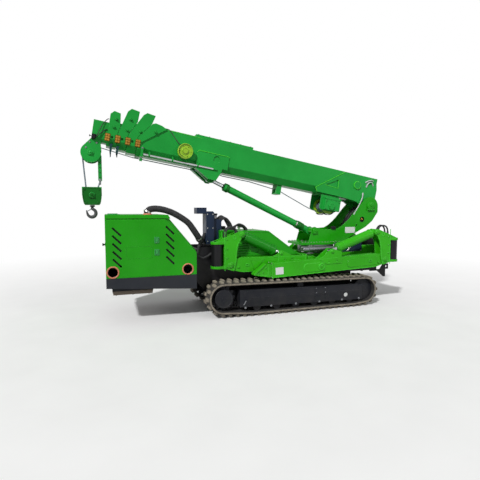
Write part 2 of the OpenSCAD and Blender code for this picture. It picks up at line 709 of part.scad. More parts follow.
// Space in front of a section's leaning front edge
module ahead_of_section(i) {
    front = section(i)[4];
    side_plate(-far, far) polygon([[front, lean_from_h], [front + far, lean_from_h], [front + far, far],
        [fan_front(i, far), far]]);
}
pad_len = 50;
module wear_pads(i) {
    b = section(i);
    w = b[5];
    t = section_gap - seat;
    for (k = [[b[4], b[1] + w, flat_half(i, w) - 4], [fan_front(i, b[2]), b[2] - w - t, b[0] - w - 12]])
        block([k[0] - pad_len - 8, -k[2], k[1]], [k[0] - 8, k[2], k[1] + t]);
}
module collar(i) {
    b = section(i);
    w = fan[i][0];
    low = b[1] - collar_drop;
    difference() {
        intersection() {
            side_plate(-w, w) collar_outline(i);
            rotate([90, 0, 90]) linear_extrude(b[4] + 1) polygon([[-w, low + corner_h],
                [corner_w - w, low], [w - corner_w, low], [w, low + corner_h], [w, far], [-w, far]]);
        }
        block([b[3], -w + ear_t, b[2] + 12], [b[4] + 50, w - ear_t, far]);
        section_hollow(i, b[4] - 500, b[4] + 50);
        both_sides() pin_y(b[4] - 42, 141, 12, -w - 1, -w + 20);
    }
    wear_pads(i);
}
module boom_section(i) {
    b = section(i);
    color(boom_green) on_boom() union() {
        difference() {
            section_box(i, b[3], b[4]);
            section_hollow(i, b[3] - 1, b[4] + 1);
            ahead_of_section(i);
        }
        collar(i);
    }
}
lug_r = 74;
guide_s = 1123;
module base_solid(b) {
    difference() {
        section_box(0, b[3], b[4]);
        section_hollow(0, 60, b[4] + 1);
        ahead_of_section(0);
        block([b[3] - 1, -b[0] + 20, 120], [40, b[0] - 20, 260]);
    }
    both_sides() {
        side_plate(-b[0] - 10, -b[0]) difference() {
            union() {
                circle(r = lug_r);
                polygon([[-60, 0], [-66, 200], [-40, 318], [386, 318], [728, 86], [700, 42],
                    [330, 36], [180, 20], [60, -44]]);
            }
            polygon([[617, 134], [452, 222], [447, 122]]);
        }
        side_plate(-b[0], -b[0] + 20) union() {
            circle(r = lug_r);
            polygon([[-60, 0], [-60, 100], [330, 100], [330, 60], [180, 20], [60, -44]]);
        }
        pin_y(207, 204, 42, -b[0] - 22, -b[0] - 10);
        side_plate(-b[0] - 8, -b[0]) difference() {
            translate([rod_pin_s, 0]) polygon([[-146, 62], [-146, 190], [-132, 197], [172, 197],
                [182, 180], [182, 62]]);
            translate([rod_pin_s - 20, 145]) circle(r = 34);
        }
        side_plate(-70, -48) translate([rod_pin_s, 0]) polygon([[181, boom_low], [181, 24],
            [37, rod_pin_h - 26], [17, rod_pin_h - 42], [-18, rod_pin_h - 42], [-42, rod_pin_h - 20],
            [-98, boom_low]]);
        pin_y(rod_pin_s, rod_pin_h, 30, -84, -70);
        side_plate(-b[0] - 8, -70) translate([rod_pin_s, 0]) polygon([[181, 164], [181, 24],
            [37, rod_pin_h - 16], [-44, rod_pin_h - 16], [-88, boom_low], [-88, 62], [-44, 64]]);
    }
    block([1495, -b[0] + 30, b[2]], [2101, b[0] - 30, b[2] + 30]);
    block([guide_s - 26, -60, -64], [guide_s + 26, 60, boom_low]);
    block([base_len - 60, -b[0] - 26, -20], [base_len - 40, -b[0] + 1, 119]);
    translate([rod_pin_s - 31, -b[0] - 16, 46]) rotate([0, 90, 0]) cylinder(r = 9,
        h = base_len - rod_pin_s - 17);
}
module boom_base() {
    b = section(0);
    color(boom_green) on_boom() union() {
        collar(0);
        difference() {
            base_solid(b);
            pin_y(0, 0, pivot_pin_r + pin_play, -far, far);
            block([guide_s - 30, -24, -52], [guide_s + 30, 24, -10]);
            section_hollow(0, 60, b[4] + 1);
        }
    }
}

// Innermost section with the tip head: two sheave plates, the sheave and its pin
head_half_w = 64;
sheave_r = 78;
groove_at = sheave_r + 2;
groove_r = 9;
plate_r = 88;
module boom_5() {
    b = section(4);
    color(boom_green) on_boom() {
        difference() {
            section_box(4, b[3], tip_end_s);
            section_hollow(4, b[3] - 1, tip_end_s - 10);
        }
        both_sides() side_plate(-head_half_w, -head_half_w + 10) union() {
            translate([sheave_s, sheave_h]) circle(r = plate_r);
            polygon([[tip_end_s, b[1] + 20], [sheave_s + 66, sheave_h + 58],
                [sheave_s - 82, sheave_h - 30], [sheave_s - 86, 20], [sheave_s - 65, b[1] + 20]]);
        }
        side_plate(-head_half_w + 10, head_half_w - 10) polygon([[tip_end_s, b[1] + 2],
            [tip_end_s, 62], [sheave_s - 40, 62], [sheave_s - 40, b[1] + 2]]);
        difference() {
            pin_y(sheave_s, sheave_h, sheave_r, -20, 20);
            translate([sheave_s, 0, sheave_h]) rotate([90, 0, 0]) rotate_extrude()
                translate([groove_at, 0]) circle(r = groove_r);
        }
        pin_y(sheave_s, sheave_h, 16, -head_half_w - 12, head_half_w + 12);
    }
}

// Hoist winch under the boom's rear, cable reel on its side
winch_s = 507;
winch_h = -92;
drum_r = 52;
flange_r = 82;
winch_half_w = 112;
winch_pin_r = 16;
module winch_frame() {
    color(boom_green) on_boom() difference() {
        union() {
            block([winch_s - 106, -winch_half_w, boom_low - 14],
                [winch_s + 122, winch_half_w, boom_low - seat]);
            both_sides() side_plate(-winch_half_w, -winch_half_w + 10) polygon([
                [winch_s - 106, boom_low - 10], [winch_s + 122, boom_low - 10],
                [winch_s + 122, winch_h - 30], [winch_s + 90, winch_h - 52],
                [winch_s - 80, winch_h - 52], [winch_s - 106, winch_h - 30]]);
            side_plate(-winch_half_w - 46, -winch_half_w) polygon([[winch_s - 106, -7],
                [winch_s + 86, -7], [winch_s + 86, winch_h - 44], [winch_s - 106, winch_h - 44]]);
            pin_y(winch_s, winch_h, 36, -winch_half_w - 58, -winch_half_w - 46);
        }
        pin_y(winch_s, winch_h, winch_pin_r + pin_play, -winch_half_w - 20, winch_half_w + 1);
    }
}
module winch_drum() {
    color(reel_lime) on_boom() {
        pin_y(winch_s, winch_h, drum_r, -88, 88);
        both_sides() pin_y(winch_s, winch_h, flange_r, -96, -86);
        pin_y(winch_s, winch_h, winch_pin_r, -winch_half_w - 15, winch_half_w);
    }
}
reel_s = rod_pin_s + 309;
reel_h = 152;
reel_r = 70;
module cable_reel() {
    b = section(0);
    color(reel_lime) on_boom() {
        pin_y(reel_s, reel_h, reel_r, -b[0] - 54, -b[0] - 40);
        pin_y(reel_s, reel_h, reel_r - 14, -b[0] - 42, -b[0] - 22);
        pin_y(reel_s, reel_h, reel_r, -b[0] - 24, -b[0] - 12);
        pin_y(reel_s, reel_h, 24, -b[0] - 66, -b[0]);
    }
}

// Hook block, hook and the two rope falls, hanging upright from the tip sheave
sheave_x = pivot_x - sheave_s * cos(boom_rise) + sheave_h * sin(boom_rise);
sheave_z = pivot_z + sheave_s * sin(boom_rise) + sheave_h * cos(boom_rise);
block_x = sheave_x;
hook_x = sheave_x;
block_low_z = 1073;
block_half_w = 86;
fall_x = groove_at - groove_r + rope_r + seat;
module rope_falls() {
    color(rope_grey) for (k = [-1, 1]) translate([sheave_x + k * fall_x, 0, block_top_z + seat])
        cylinder(r = rope_r, h = sheave_z - 2 - block_top_z - seat, $fn = 12);
}
module hook_block() {
    color(boom_green) {
        side_plate(-32, 32) polygon([[block_x - block_half_w, block_top_z],
            [block_x + block_half_w, block_top_z], [block_x + block_half_w, block_top_z - 80],
            [block_x + block_half_w - 22, block_top_z - 110],
            [block_x + block_half_w - 22, block_low_z], [block_x - block_half_w + 22, block_low_z],
            [block_x - block_half_w + 22, block_top_z - 110], [block_x - block_half_w, block_top_z - 80]]);
        pin_y(block_x, block_top_z - 74, 26, -44, 44);
    }
}
hook_ring_r = 37;
hook_bar_r = 14;
hook_c_z = hook_low_z + hook_ring_r + hook_bar_r;
module hook() {
    color(steel_grey) {
        translate([hook_x, 0, hook_c_z + 48]) cylinder(r = 15, h = block_low_z - seat - hook_c_z - 48);
        translate([hook_x, 0, hook_c_z]) rotate([90, 0, 0]) rotate([0, 0, 150])
            rotate_extrude(angle = 250) translate([hook_ring_r, 0]) circle(r = hook_bar_r);
        translate([hook_x, 0, hook_c_z]) rotate([0, 28, 0]) hull() {
            translate([0, 0, hook_ring_r]) sphere(r = hook_bar_r);
            translate([-24, 0, 56]) sphere(r = hook_bar_r - 2);
        }
    }
}

// Outrigger legs, drawn with the slewing axis at the origin and the stored leg towards +u
// Columns: fall of the stored beam in degrees, end of the outer beam, tip of the foot,
// cylinder's lower pin along u and z, end of the barrel from the upper pin, travel of the inner
// beam, tilt of the foot pad against the beam, lug's reach behind the lower pin, doubler's round end
front_kind = [0.5, 960, 1150, 664, 589, 404, 450, 18.5, 30, 195];
rear_kind = [2.6, 1465, 1655, 787, 598, 490, 560, 12.4, 112, 291];
turret_inner = beam_half_w + 0.5;
turret_half_w = turret_inner + turret_plate_t;
fold_pin_r = 20;
leg_pin_r = 18;
jaw_end_r = 62;
spine_u = 62;
module turret_outline() {
    union() {
        translate([leg_pin_u, leg_pin_z]) circle(r = 33);
        polygon([[spine_u, jaw_low_z - jaw_t], [158, 432], [166, 446], [186, 530], [190, 605],
            [203, 690], [236, 750], [268, 776], [240, 820], [225, 821], [spine_u, jaw_top_z + jaw_t + 38]]);
    }
}
module turret() {
    color(leg_green) difference() {
        union() {
            both_sides() {
                side_plate(-turret_half_w, -turret_inner) turret_outline();
                pin_y(fold_u, fold_z, 26, -turret_half_w - 6, -turret_half_w);
                pin_y(leg_pin_u, leg_pin_z, 24, -turret_half_w - 8, -turret_half_w);
                side_plate(-turret_half_w, -turret_inner) polygon([[spine_u, jaw_top_z],
                    [-30, jaw_top_z], [-30, jaw_top_z + jaw_t], [spine_u, jaw_top_z + jaw_t + 38]]);
            }
            block([spine_u, -turret_half_w, jaw_low_z - jaw_t],
                [spine_u + 10, turret_half_w, jaw_top_z + jaw_t + 30]);
            for (z = [jaw_low_z - jaw_t, jaw_top_z]) translate([0, 0, z]) linear_extrude(jaw_t) union() {
                circle(r = jaw_end_r);
                polygon([[0, -jaw_end_r], [spine_u, -turret_half_w], [spine_u, turret_half_w],
                    [0, jaw_end_r]]);
            }
            pin_y(fold_u, fold_z, fold_pin_r, -turret_inner, turret_inner);
            pin_y(leg_pin_u, leg_pin_z, leg_pin_r, -turret_inner, turret_inner);
        }
        translate([0, 0, jaw_low_z - jaw_t - 1]) cylinder(r = spigot_r + pin_play, h = jaw_t + 2);
        translate([0, 0, jaw_top_z - 1]) cylinder(r = spigot_r + pin_play, h = jaw_t + 2);
    }
}
// Along the leg's beam: distance from the fold pin, height from its centre line
module on_beam(kind) {
    translate([fold_u, 0, fold_z]) rotate([0, kind[0], 0]) children();
}
beam_drop = 1;
leg_flange = 4;
leg_doubler = 5;
boss_proud = 3;
heel_r = 46;
half_depth = beam_depth / 2;
ear_y = [26, 36];
function beam_pin(kind) = let (du = kind[3] - fold_u, dz = kind[4] - fold_z)
    [du * cos(kind[0]) - dz * sin(kind[0]), du * sin(kind[0]) + dz * cos(kind[0])];
module beam_body(kind, s1) {
    side_plate(-beam_half_w, beam_half_w) union() {
        circle(r = heel_r);
        polygon([[0, heel_r], [110, half_depth - beam_drop], [s1, half_depth - beam_drop],
            [s1, -half_depth - beam_drop], [110, -half_depth - beam_drop], [0, -heel_r]]);
    }
}
module beam_pads(s1) {
    t = beam_gap - seat;
    top = half_depth - beam_drop - beam_wall - 1;
    low = -half_depth - beam_drop + beam_wall + 1;
    for (z = [low, top - t]) block([s1 - 60, -beam_half_w + 12, z], [s1 - 8, beam_half_w - 12, z + t]);
}
module beam_solid(kind, s1, pin) {
    beam_body(kind, s1);
    block([s1 - 16, -beam_half_w - leg_flange, -half_depth - beam_drop - 6],
        [s1, beam_half_w + leg_flange, half_depth - beam_drop + 14]);
    both_sides() {
        side_plate(-ear_y[1], -ear_y[0]) union() {
            translate(pin) circle(r = 24);
            polygon([[pin[0] - 24, pin[1]], [pin[0] - 90, half_depth - beam_drop],
                [pin[0] + 60, half_depth - beam_drop], [pin[0] + 22, pin[1] - 8]]);
        }
        side_plate(-beam_half_w - leg_doubler, -beam_half_w) difference() {
            union() {
                translate(pin) circle(r = 30);
                polygon([[pin[0] - kind[8], 8], [pin[0] - kind[8], pin[1] - 8], [pin[0] - 12, pin[1] + 27],
                    [pin[0] + 12, pin[1] + 27], [pin[0] + 150, half_depth - 6], [pin[0] + 70, 8]]);
            }
            for (d = [44, -55]) translate([pin[0] + d, 34]) circle(r = 8);
        }
    }
    side_plate(-beam_half_w - leg_doubler, -beam_half_w) union() {
        translate([pin[0] + kind[9], -10]) circle(r = 43);
        polygon([[pin[0] + 93, -53], [pin[0] + kind[9], -53], [pin[0] + kind[9], 33], [pin[0] + 93, 33]]);
    }
    pin_y(pin[0] + 132, -10, 33, -beam_half_w - leg_doubler - boss_proud, -beam_half_w);
}
module beam(kind) {
    s1 = kind[1] - fold_u;
    hollow_x0 = kind[1] - kind[6] - 420;
    color(leg_green) on_beam(kind) union() {
        beam_pads(s1);
        difference() {
            beam_solid(kind, s1, beam_pin(kind));
            block([hollow_x0 - fold_u, -beam_half_w + beam_wall, -half_depth - beam_drop + beam_wall + 1],
                [s1 + 1, beam_half_w - beam_wall, half_depth - beam_drop - beam_wall - 1]);
            pin_y(0, 0, fold_pin_r + pin_play, -far, far);
        }
    }
}
pad_t = 12;
pad_len_foot = 172;
module foot(kind) {
    s0 = kind[1] - kind[6] - 300 - fold_u;
    hw = beam_half_w - beam_wall - beam_gap;
    top = half_depth - beam_drop - beam_wall - 1 - beam_gap;
    low = -half_depth - beam_drop + beam_wall + 1 + beam_gap;
    tip = kind[2] - fold_u;
    brow = tip - 127;
    toe = [tip - 4, low + 9 + (pad_len_foot - 4) * tan(kind[7])];
    color(leg_green) on_beam(kind) union() {
        difference() {
            side_plate(-hw, hw) polygon([[s0, low], [s0, top], [brow, top], toe, [tip - 4, low]]);
            block([s0 - 1, -hw + 5, low + 5], [brow - 20, hw - 5, top - 5]);
            side_plate(-far, far) translate([tip - pad_len_foot, low + 9]) rotate(kind[7])
                polygon([[0, -pad_t], [far, -pad_t], [far, -far], [0, -far]]);
        }
        side_plate(-hw - 8, hw + 8) polygon([[brow - 12, top + 10], [brow + 2, top + 10], toe,
            [toe[0] - 18, toe[1] - 4]]);
        both_sides() side_plate(-hw - 8, -hw) polygon([[tip - 166, low + 8], [tip - 150, low + 12],
            [tip - 150, top], [tip - 166, top]]);
        side_plate(-hw - 8, hw + 8) translate([tip - pad_len_foot, low + 9]) rotate(kind[7])
            polygon([[0, -pad_t], [pad_len_foot, -pad_t], [pad_len_foot, 0], [0, 0]]);
    }
}
// Along the leg cylinder: from the upper pin towards the lower one
eye_half_w = 30;
leg_eye_r = 32;
leg_neck_r = 36;
leg_neck_len = 52;
module leg_barrel(kind) {
    a = [leg_pin_u, leg_pin_z];
    b = [kind[3], kind[4]];
    color(leg_green) difference() {
        union() {
            bar(a, b, leg_neck_r, 24, leg_neck_len + 1);
            bar(a, b, leg_barrel_r, leg_neck_len, kind[5]);
            bar(a, b, leg_barrel_r + 2, kind[5] - 22, kind[5] - 6);
            pin_y(a[0], a[1], leg_eye_r, -eye_half_w, eye_half_w);
        }
        pin_y(a[0], a[1], leg_pin_r + pin_play, -far, far);
        bar(a, b, leg_rod_r + rod_clear, 60, kind[5] + 1);
    }
}
module leg_rod(kind) {
    a = [leg_pin_u, leg_pin_z];
    b = [kind[3], kind[4]];
    color(steel_grey) difference() {
        union() {
            bar(a, b, leg_rod_r, 140, norm(b - a));
            pin_y(b[0], b[1], 23, -22, 22);
        }
        pin_y(b[0], b[1], 12, -30, 30);
    }
}
module at_leg(place) {
    front = place[0] == "f";
    right = place[1] == "r";
    mirror([0, right ? 1 : 0, 0]) translate([front ? front_leg_x : rear_leg_x,
        front ? -front_leg_y : -rear_leg_y, 0]) mirror([front ? 0 : 1, 0, 0]) children();
}

chassis();
deck();
corner_posts();
tank_body();
valve_tower();
hood();
hood_skirt();
engine_block();
duct_hose();
track();  // track_l
mirror([0, 1, 0]) track();  // track_r
track_frame();  // track_frame_l
mirror([0, 1, 0]) track_frame();  // track_frame_r
track_wheels();  // track_wheels_l
mirror([0, 1, 0]) track_wheels();  // track_wheels_r
slew_ring();
slew_drive();
slew_column();
luff_barrel();
luff_rod();
boom_base();
boom_section(1);  // boom_2
boom_section(2);  // boom_3
boom_section(3);  // boom_4
boom_5();
winch_frame();
winch_drum();
cable_reel();
rope_falls();
hook_block();
hook();
at_leg("fl") turret();  // turret_fl
at_leg("rl") turret();  // turret_rl
at_leg("fr") turret();  // turret_fr
at_leg("rr") turret();  // turret_rr
at_leg("fl") beam(front_kind);  // beam_fl
at_leg("rl") beam(rear_kind);  // beam_rl
at_leg("fr") beam(front_kind);  // beam_fr
at_leg("rr") beam(rear_kind);  // beam_rr
at_leg("fl") foot(front_kind);  // foot_fl
at_leg("rl") foot(rear_kind);  // foot_rl
at_leg("fr") foot(front_kind);  // foot_fr
at_leg("rr") foot(rear_kind);  // foot_rr
at_leg("fl") leg_barrel(front_kind);  // leg_barrel_fl
at_leg("rl") leg_barrel(rear_kind);  // leg_barrel_rl
at_leg("fr") leg_barrel(front_kind);  // leg_barrel_fr
at_leg("rr") leg_barrel(rear_kind);  // leg_barrel_rr
at_leg("fl") leg_rod(front_kind);  // leg_rod_fl
at_leg("rl") leg_rod(rear_kind);  // leg_rod_rl
at_leg("fr") leg_rod(front_kind);  // leg_rod_fr
at_leg("rr") leg_rod(rear_kind);  // leg_rod_rr
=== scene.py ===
"""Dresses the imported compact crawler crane: finishes, fine pieces, studio light and camera.

The frame is the part's own: origin on the ground under the middle of the machine, +X towards the
slewing column, -X towards the engine hood, -Y the side with the duct hose, +Z up. Shells are drawn in
millimetres, as in the CAD, and add_piece writes them in metres; finishes and studio are in metres.
"""

import json
import logging
import math
from dataclasses import dataclass, field
from enum import Enum
from itertools import product
from typing import Iterable, Sequence

import bpy
import numpy as np
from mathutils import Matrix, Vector
from mathutils.bvhtree import BVHTree


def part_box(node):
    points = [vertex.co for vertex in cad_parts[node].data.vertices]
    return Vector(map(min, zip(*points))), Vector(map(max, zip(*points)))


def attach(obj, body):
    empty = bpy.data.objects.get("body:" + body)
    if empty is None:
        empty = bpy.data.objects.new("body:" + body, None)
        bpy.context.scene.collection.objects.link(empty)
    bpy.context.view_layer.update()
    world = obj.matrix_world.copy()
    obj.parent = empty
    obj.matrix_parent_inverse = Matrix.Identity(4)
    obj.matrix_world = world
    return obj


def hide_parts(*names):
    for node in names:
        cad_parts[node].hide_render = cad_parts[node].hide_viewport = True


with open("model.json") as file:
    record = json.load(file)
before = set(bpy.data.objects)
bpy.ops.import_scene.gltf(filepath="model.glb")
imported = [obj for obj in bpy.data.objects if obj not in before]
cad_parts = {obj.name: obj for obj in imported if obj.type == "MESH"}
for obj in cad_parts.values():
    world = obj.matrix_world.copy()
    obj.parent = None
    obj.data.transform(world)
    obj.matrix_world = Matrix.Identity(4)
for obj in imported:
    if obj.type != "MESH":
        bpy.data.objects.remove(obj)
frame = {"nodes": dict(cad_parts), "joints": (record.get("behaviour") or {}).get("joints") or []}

LOG = logging.getLogger("crawler_crane")
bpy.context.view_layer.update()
JOINTS = {joint["name"]: joint for joint in frame["joints"]}
MM = 1000.0
Array = np.ndarray
Socket = bpy.types.NodeSocket


class Side(Enum):
    """The two sides of the machine, with the sign of Y on each."""

    LEFT = -1
    RIGHT = 1


class End(Enum):
    """Which end of the machine a leg stands at, with the letter that its nodes use."""

    FRONT = "f"
    REAR = "r"


class Metal(Enum):
    """Bare metals: colour, roughness and depth of the surface's grain in metres."""

    CHROME = ((0.72, 0.74, 0.76), 0.12, 0.00001)
    CAST = ((0.3, 0.31, 0.33), 0.42, 0.00025)
    WIRE = ((0.22, 0.28, 0.31), 0.4, 0.0002)
    BRASS = ((0.26, 0.11, 0.02), 0.4, 0.0001)
    ZINC = ((0.55, 0.55, 0.52), 0.35, 0.00005)
    GOLD = ((0.84, 0.44, 0.09), 0.25, 0.00005)


# Small vector helpers


def unit(v: Array) -> Array:
    """Rows of v scaled to length one."""
    v = np.asarray(v, float)
    return v / np.maximum(np.linalg.norm(v, axis=-1, keepdims=True), 1e-12)


def full_turn(count: int) -> Array:
    """Angles of a whole turn in count equal steps."""
    return np.linspace(0, 2 * np.pi, count, endpoint=False)


def length_of(route: Array) -> float:
    """The length of a route: the sum of its steps."""
    return np.linalg.norm(np.diff(route, axis=0), axis=1).sum()


@dataclass(frozen=True)
class Plane:
    """A flat working plane: point(a, b, c) = origin + a * along + b * up + c * out."""

    origin: tuple
    along: tuple
    up: tuple
    out: tuple

    def at(self, a: Array, b: Array, c: Array) -> Array:
        """Points of the frame for plane coordinates, which are broadcast together.

        Args:
            a: distance along the plane's first direction.
            b: distance along its second direction.
            c: distance off the plane.

        Returns:
            Array of points, one row each.
        """
        a, b, c = np.broadcast_arrays(np.asarray(a, float), b, c)
        parts = [np.multiply.outer(k, np.asarray(d, float)) for k,
            d in ((a, self.along), (b, self.up), (c, self.out))]
        return np.asarray(self.origin, float) + parts[0] + parts[1] + parts[2]

    def shifted(self, a: float = 0.0, b: float = 0.0, c: float = 0.0) -> "Plane":
        """The same plane with its origin moved by plane coordinates."""
        return Plane(tuple(self.at(a, b, c)), self.along, self.up, self.out)

    def turned(self, a: float = 0.0, b: float = 0.0, c: float = 0.0) -> "Plane":
        """The plane through that point whose out direction is this one's along."""
        return Plane(tuple(self.at(a, b, c)), self.up, self.out, self.along)


def side_view(side: Side, y: float, x: float = 0.0, z: float = 0.0) -> Plane:
    """The plane through (x, z) at distance y from the middle, seen from that side: along +X, up +Z."""
    return Plane((x, side.value * y, z), (1, 0, 0), (0, 0, 1), (0, side.value, 0))


def top_view(z: float, x: float = 0.0, y: float = 0.0) -> Plane:
    """The level plane at height z through (x, y): along +X, up +Y, outwards +Z."""
    return Plane((x, y, z), (1, 0, 0), (0, 1, 0), (0, 0, 1))


# Shells: points and faces before they become a Blender mesh


@dataclass
class Shell:
    """A closed surface, or several, as points and arrays of faces of equal corner count."""

    points: Array
    faces: list = field(default_factory=list)

    def __add__(self, other: "Shell") -> "Shell":
        """Both shells as one, the second one's faces renumbered."""
        shift = len(self.points)
        return Shell(np.vstack([self.points, other.points]), self.faces + [f + shift for f in other.faces])

    def outward(self) -> "Shell":
        """The shell with its faces turned outwards.

        The signed volume is the sum over triangles of a . (b x c) / 6; where it is negative the
        faces point inwards and their corners are reversed.

        Returns:
            The shell itself, after the turn.
        """
        volume = 0.0
        for f in self.faces:
            p = self.points[f]
            for k in range(1, f.shape[1] - 1):
                volume += np.einsum("ij,ij->", p[:, 0], np.cross(p[:, k], p[:, k + 1]))
        if volume < 0:
            self.faces = [f[:, ::-1] for f in self.faces]
        return self

    def copies(self, offsets: Array) -> "Shell":
        """The shell repeated at each row of offsets, as one shell.

        Args:
            offsets: array of shifts, one row for each copy.

        Returns:
            One shell with all the copies.
        """
        offsets = np.asarray(offsets, float).reshape(-1, 3)
        count, size = len(offsets), len(self.points)
        points = (offsets[:, None, :] + self.points[None, :, :]).reshape(-1, 3)
        step = (np.arange(count) * size)[:, None, None]
        return Shell(points, [(step + f[None]).reshape(-1, f.shape[1]) for f in self.faces])


def merged(shells: Iterable[Shell]) -> Shell:
    """All the shells as one.

    Args:
        shells: one shell or more.

    Returns:
        One shell of them all, in their order.
    """
    shells = list(shells)
    total = shells[0]
    for shell in shells[1:]:
        total = total + shell
    return total


def grid_faces(rows: int, cols: int, wrap_rows: bool, wrap_cols: bool) -> Array:
    """Quads between neighbouring points of a grid stored row by row.

    Quad (i, j) joins (i, j), (i + 1, j), (i + 1, j + 1), (i, j + 1); wrapping takes the index
    modulo the count.

    Args:
        rows: number of rows of points.
        cols: number of points in a row.
        wrap_rows: whether the last row joins the first.
        wrap_cols: whether the last point of a row joins its first.

    Returns:
        Array of quads, four indices each.
    """
    i, j = np.meshgrid(np.arange(rows if wrap_rows else rows - 1),
        np.arange(cols if wrap_cols else cols - 1), indexing="ij")
    i, j = i.ravel(), j.ravel()
    i2, j2 = (i + 1) % rows, (j + 1) % cols
    return np.stack([i * cols + j, i2 * cols + j, i2 * cols + j2, i * cols + j2], axis=1)


def ring_stack(rings: Array) -> Shell:
    """A closed shell through rings of points, capped at the first and the last one.

    Args:
        rings: array (rings, points in a ring, 3).

    Returns:
        The shell, facing outwards.
    """
    rows, cols = rings.shape[:2]
    caps = np.arange(cols)[None, :]
    faces = [grid_faces(rows, cols, False, True), caps[:, ::-1], caps + (rows - 1) * cols]
    return Shell(rings.reshape(-1, 3), faces).outward()


def closed_loop(rings: Array) -> Shell:
    """A shell through rings whose last one joins the first, as a belt or a torus."""
    rows, cols = rings.shape[:2]
    return Shell(rings.reshape(-1, 3), [grid_faces(rows, cols, True, True)]).outward()


def smooth_route(points: Sequence, per_span: int = 8) -> Array:
    """A smooth curve through the points.

    Catmull-Rom: p(t) = (2b + (c-a)t + (2a-5b+4c-d)t^2 + (3b-a-3c+d)t^3) / 2 on each span b to c.

    Args:
        points: the points that the curve goes through.
        per_span: steps between two of them.

    Returns:
        Array of points along the curve.
    """
    p = np.asarray(points, float)
    p = np.vstack([p[:1], p, p[-1:]])
    t = np.linspace(0, 1, per_span, endpoint=False)[None, :, None]
    a, b, c, d = (p[k:len(p) - 3 + k, None, :] for k in range(4))
    curve = 0.5 * (2 * b + (c - a) * t + (2 * a - 5 * b + 4 * c - d) * t ** 2 + (3 * b - a - 3 * c + d)
        * t ** 3)
    return np.vstack([curve.reshape(-1, 3), p[-1:]])


def even_steps(route: Array, count: int) -> Array:
    """The route resampled at equal arc lengths: s_k = k L / (count - 1), linear between its points.

    Args:
        route: points of the route.
        count: how many points are wanted.

    Returns:
        The new points.
    """
    s = np.concatenate([[0], np.cumsum(np.linalg.norm(np.diff(route, axis=0), axis=1))])
    at = np.linspace(0, s[-1], count)
    return np.stack([np.interp(at, s, route[:, k]) for k in range(3)], axis=1)


def tube(route: Array, radius: float | Array, sides: int = 12) -> Shell:
    """A round tube: ring i = p_i + r_i (cos u * n + sin u * (t x n)).

    n is square to the tangent t and as near as can be to the direction in which the route spreads
    least, so that it never meets the tangent.

    Args:
        route: points of the centre line.
        radius: one radius, or one for each point.
        sides: points round the tube.

    Returns:
        The closed tube.
    """
    p = np.asarray(route, float)
    t = unit(np.gradient(p, axis=0))
    flat = np.linalg.svd(p - p.mean(0))[2][-1]
    n = unit(flat - t * (t @ flat)[:, None])
    b = np.cross(t, n)
    r = np.broadcast_to(np.asarray(radius, float), len(p))[:, None, None]
    u = full_turn(sides)[None, :, None]
    return ring_stack(p[:, None, :] + r * (np.cos(u) * n[:, None, :] + np.sin(u) * b[:, None, :]))


def lathe(profile: Sequence, plane: Plane, sides: int = 32, turn: float = 0.0) -> Shell:
    """A turned shape: point = origin + r (cos u * along + sin u * up) + h * out.

    Args:
        profile: pairs (r, h) from one end to the other.
        plane: its origin is on the axis and its out direction is the axis.
        sides: points round the axis.
        turn: angle of the first point in radians.

    Returns:
        The closed shape.
    """
    r, h = np.asarray(profile, float).T
    u = turn + full_turn(sides)
    return ring_stack(plane.at(r[:, None] * np.cos(u), r[:, None] * np.sin(u), h[:, None]))


def inset(outline: Array, by: float) -> Array:
    """The outline moved inwards: p - by * (n1 + n2) / (1 + n1 . n2), n1 and n2 its edges' normals.

    Args:
        outline: its corners.
        by: how far they move.

    Returns:
        The moved corners.
    """
    p = np.asarray(outline, float)
    e = np.roll(p, -1, axis=0) - p
    n = unit(np.stack([e[:, 1], -e[:, 0]], axis=1))
    before = np.roll(n, 1, axis=0)
    area = np.sum(p[:, 0] * np.roll(p[:, 1], -1) - np.roll(p[:, 0], -1) * p[:, 1])
    lean = (n + before) / (1 + np.sum(n * before, axis=1, keepdims=True))
    return p - math.copysign(by, area) * lean


def plate(outline: Sequence, plane: Plane, low: float, high: float, edge: float = 1.5) -> Shell:
    """A flat plate with softened edges, its outline drawn in the plane.

    Its rings are the outline inset by edge at both faces and the outline itself edge further in.

    Args:
        outline: corners of the outline in plane coordinates.
        plane: the plane that carries it.
        low: where the plate starts off the plane.
        high: where it ends.
        edge: width of the softened edge.

    Returns:
        The closed plate.
    """
    p = np.asarray(outline, float)
    q = inset(p, edge)
    rings = [(q, low), (p, low + edge), (p, high - edge), (q, high)]
    return ring_stack(np.stack([plane.at(o[:, 0], o[:, 1], c) for o, c in rings]))


def rounded(a0: float, b0: float, a1: float, b1: float, r: float, steps: int = 5) -> Array:
    """A rectangle with round corners: each corner is centre + r (cos u, sin u) over a quarter turn.

    Args:
        a0, b0: its lower left corner.
        a1, b1: its upper right corner.
        r: radius of its corners.
        steps: points at each corner.

    Returns:
        Its outline.
    """
    u = np.linspace(0, np.pi / 2, steps)
    centres = ((a1 - r, b1 - r, 0), (a0 + r, b1 - r, 1), (a0 + r, b0 + r, 2), (a1 - r, b0 + r, 3))
    return np.vstack([np.stack([ca + r * np.cos(u + k * np.pi / 2), cb + r * np.sin(u + k * np.pi / 2)], 1)
        for ca, cb, k in centres])


def disc(a: float, b: float, r: float, count: int = 28) -> Array:
    """A circle's outline in plane coordinates."""
    u = full_turn(count)
    return np.stack([a + r * np.cos(u), b + r * np.sin(u)], axis=1)


def frame_bar(outline: Array, plane: Plane, width: float, low: float, high: float) -> Shell:
    """A raised rim along a closed outline: a square section carried round between it and its inset.

    Args:
        outline: outer outline in plane coordinates.
        plane: the plane that carries it.
        width: how wide the rim is.
        low, high: where it starts and ends off the plane.

    Returns:
        The rim.
    """
    inner = inset(outline, width)
    section = [(outline, low), (outline, high), (inner, high), (inner, low)]
    rings = np.stack([plane.at(o[:, 0], o[:, 1], c) for o, c in section], axis=1)
    return closed_loop(rings)


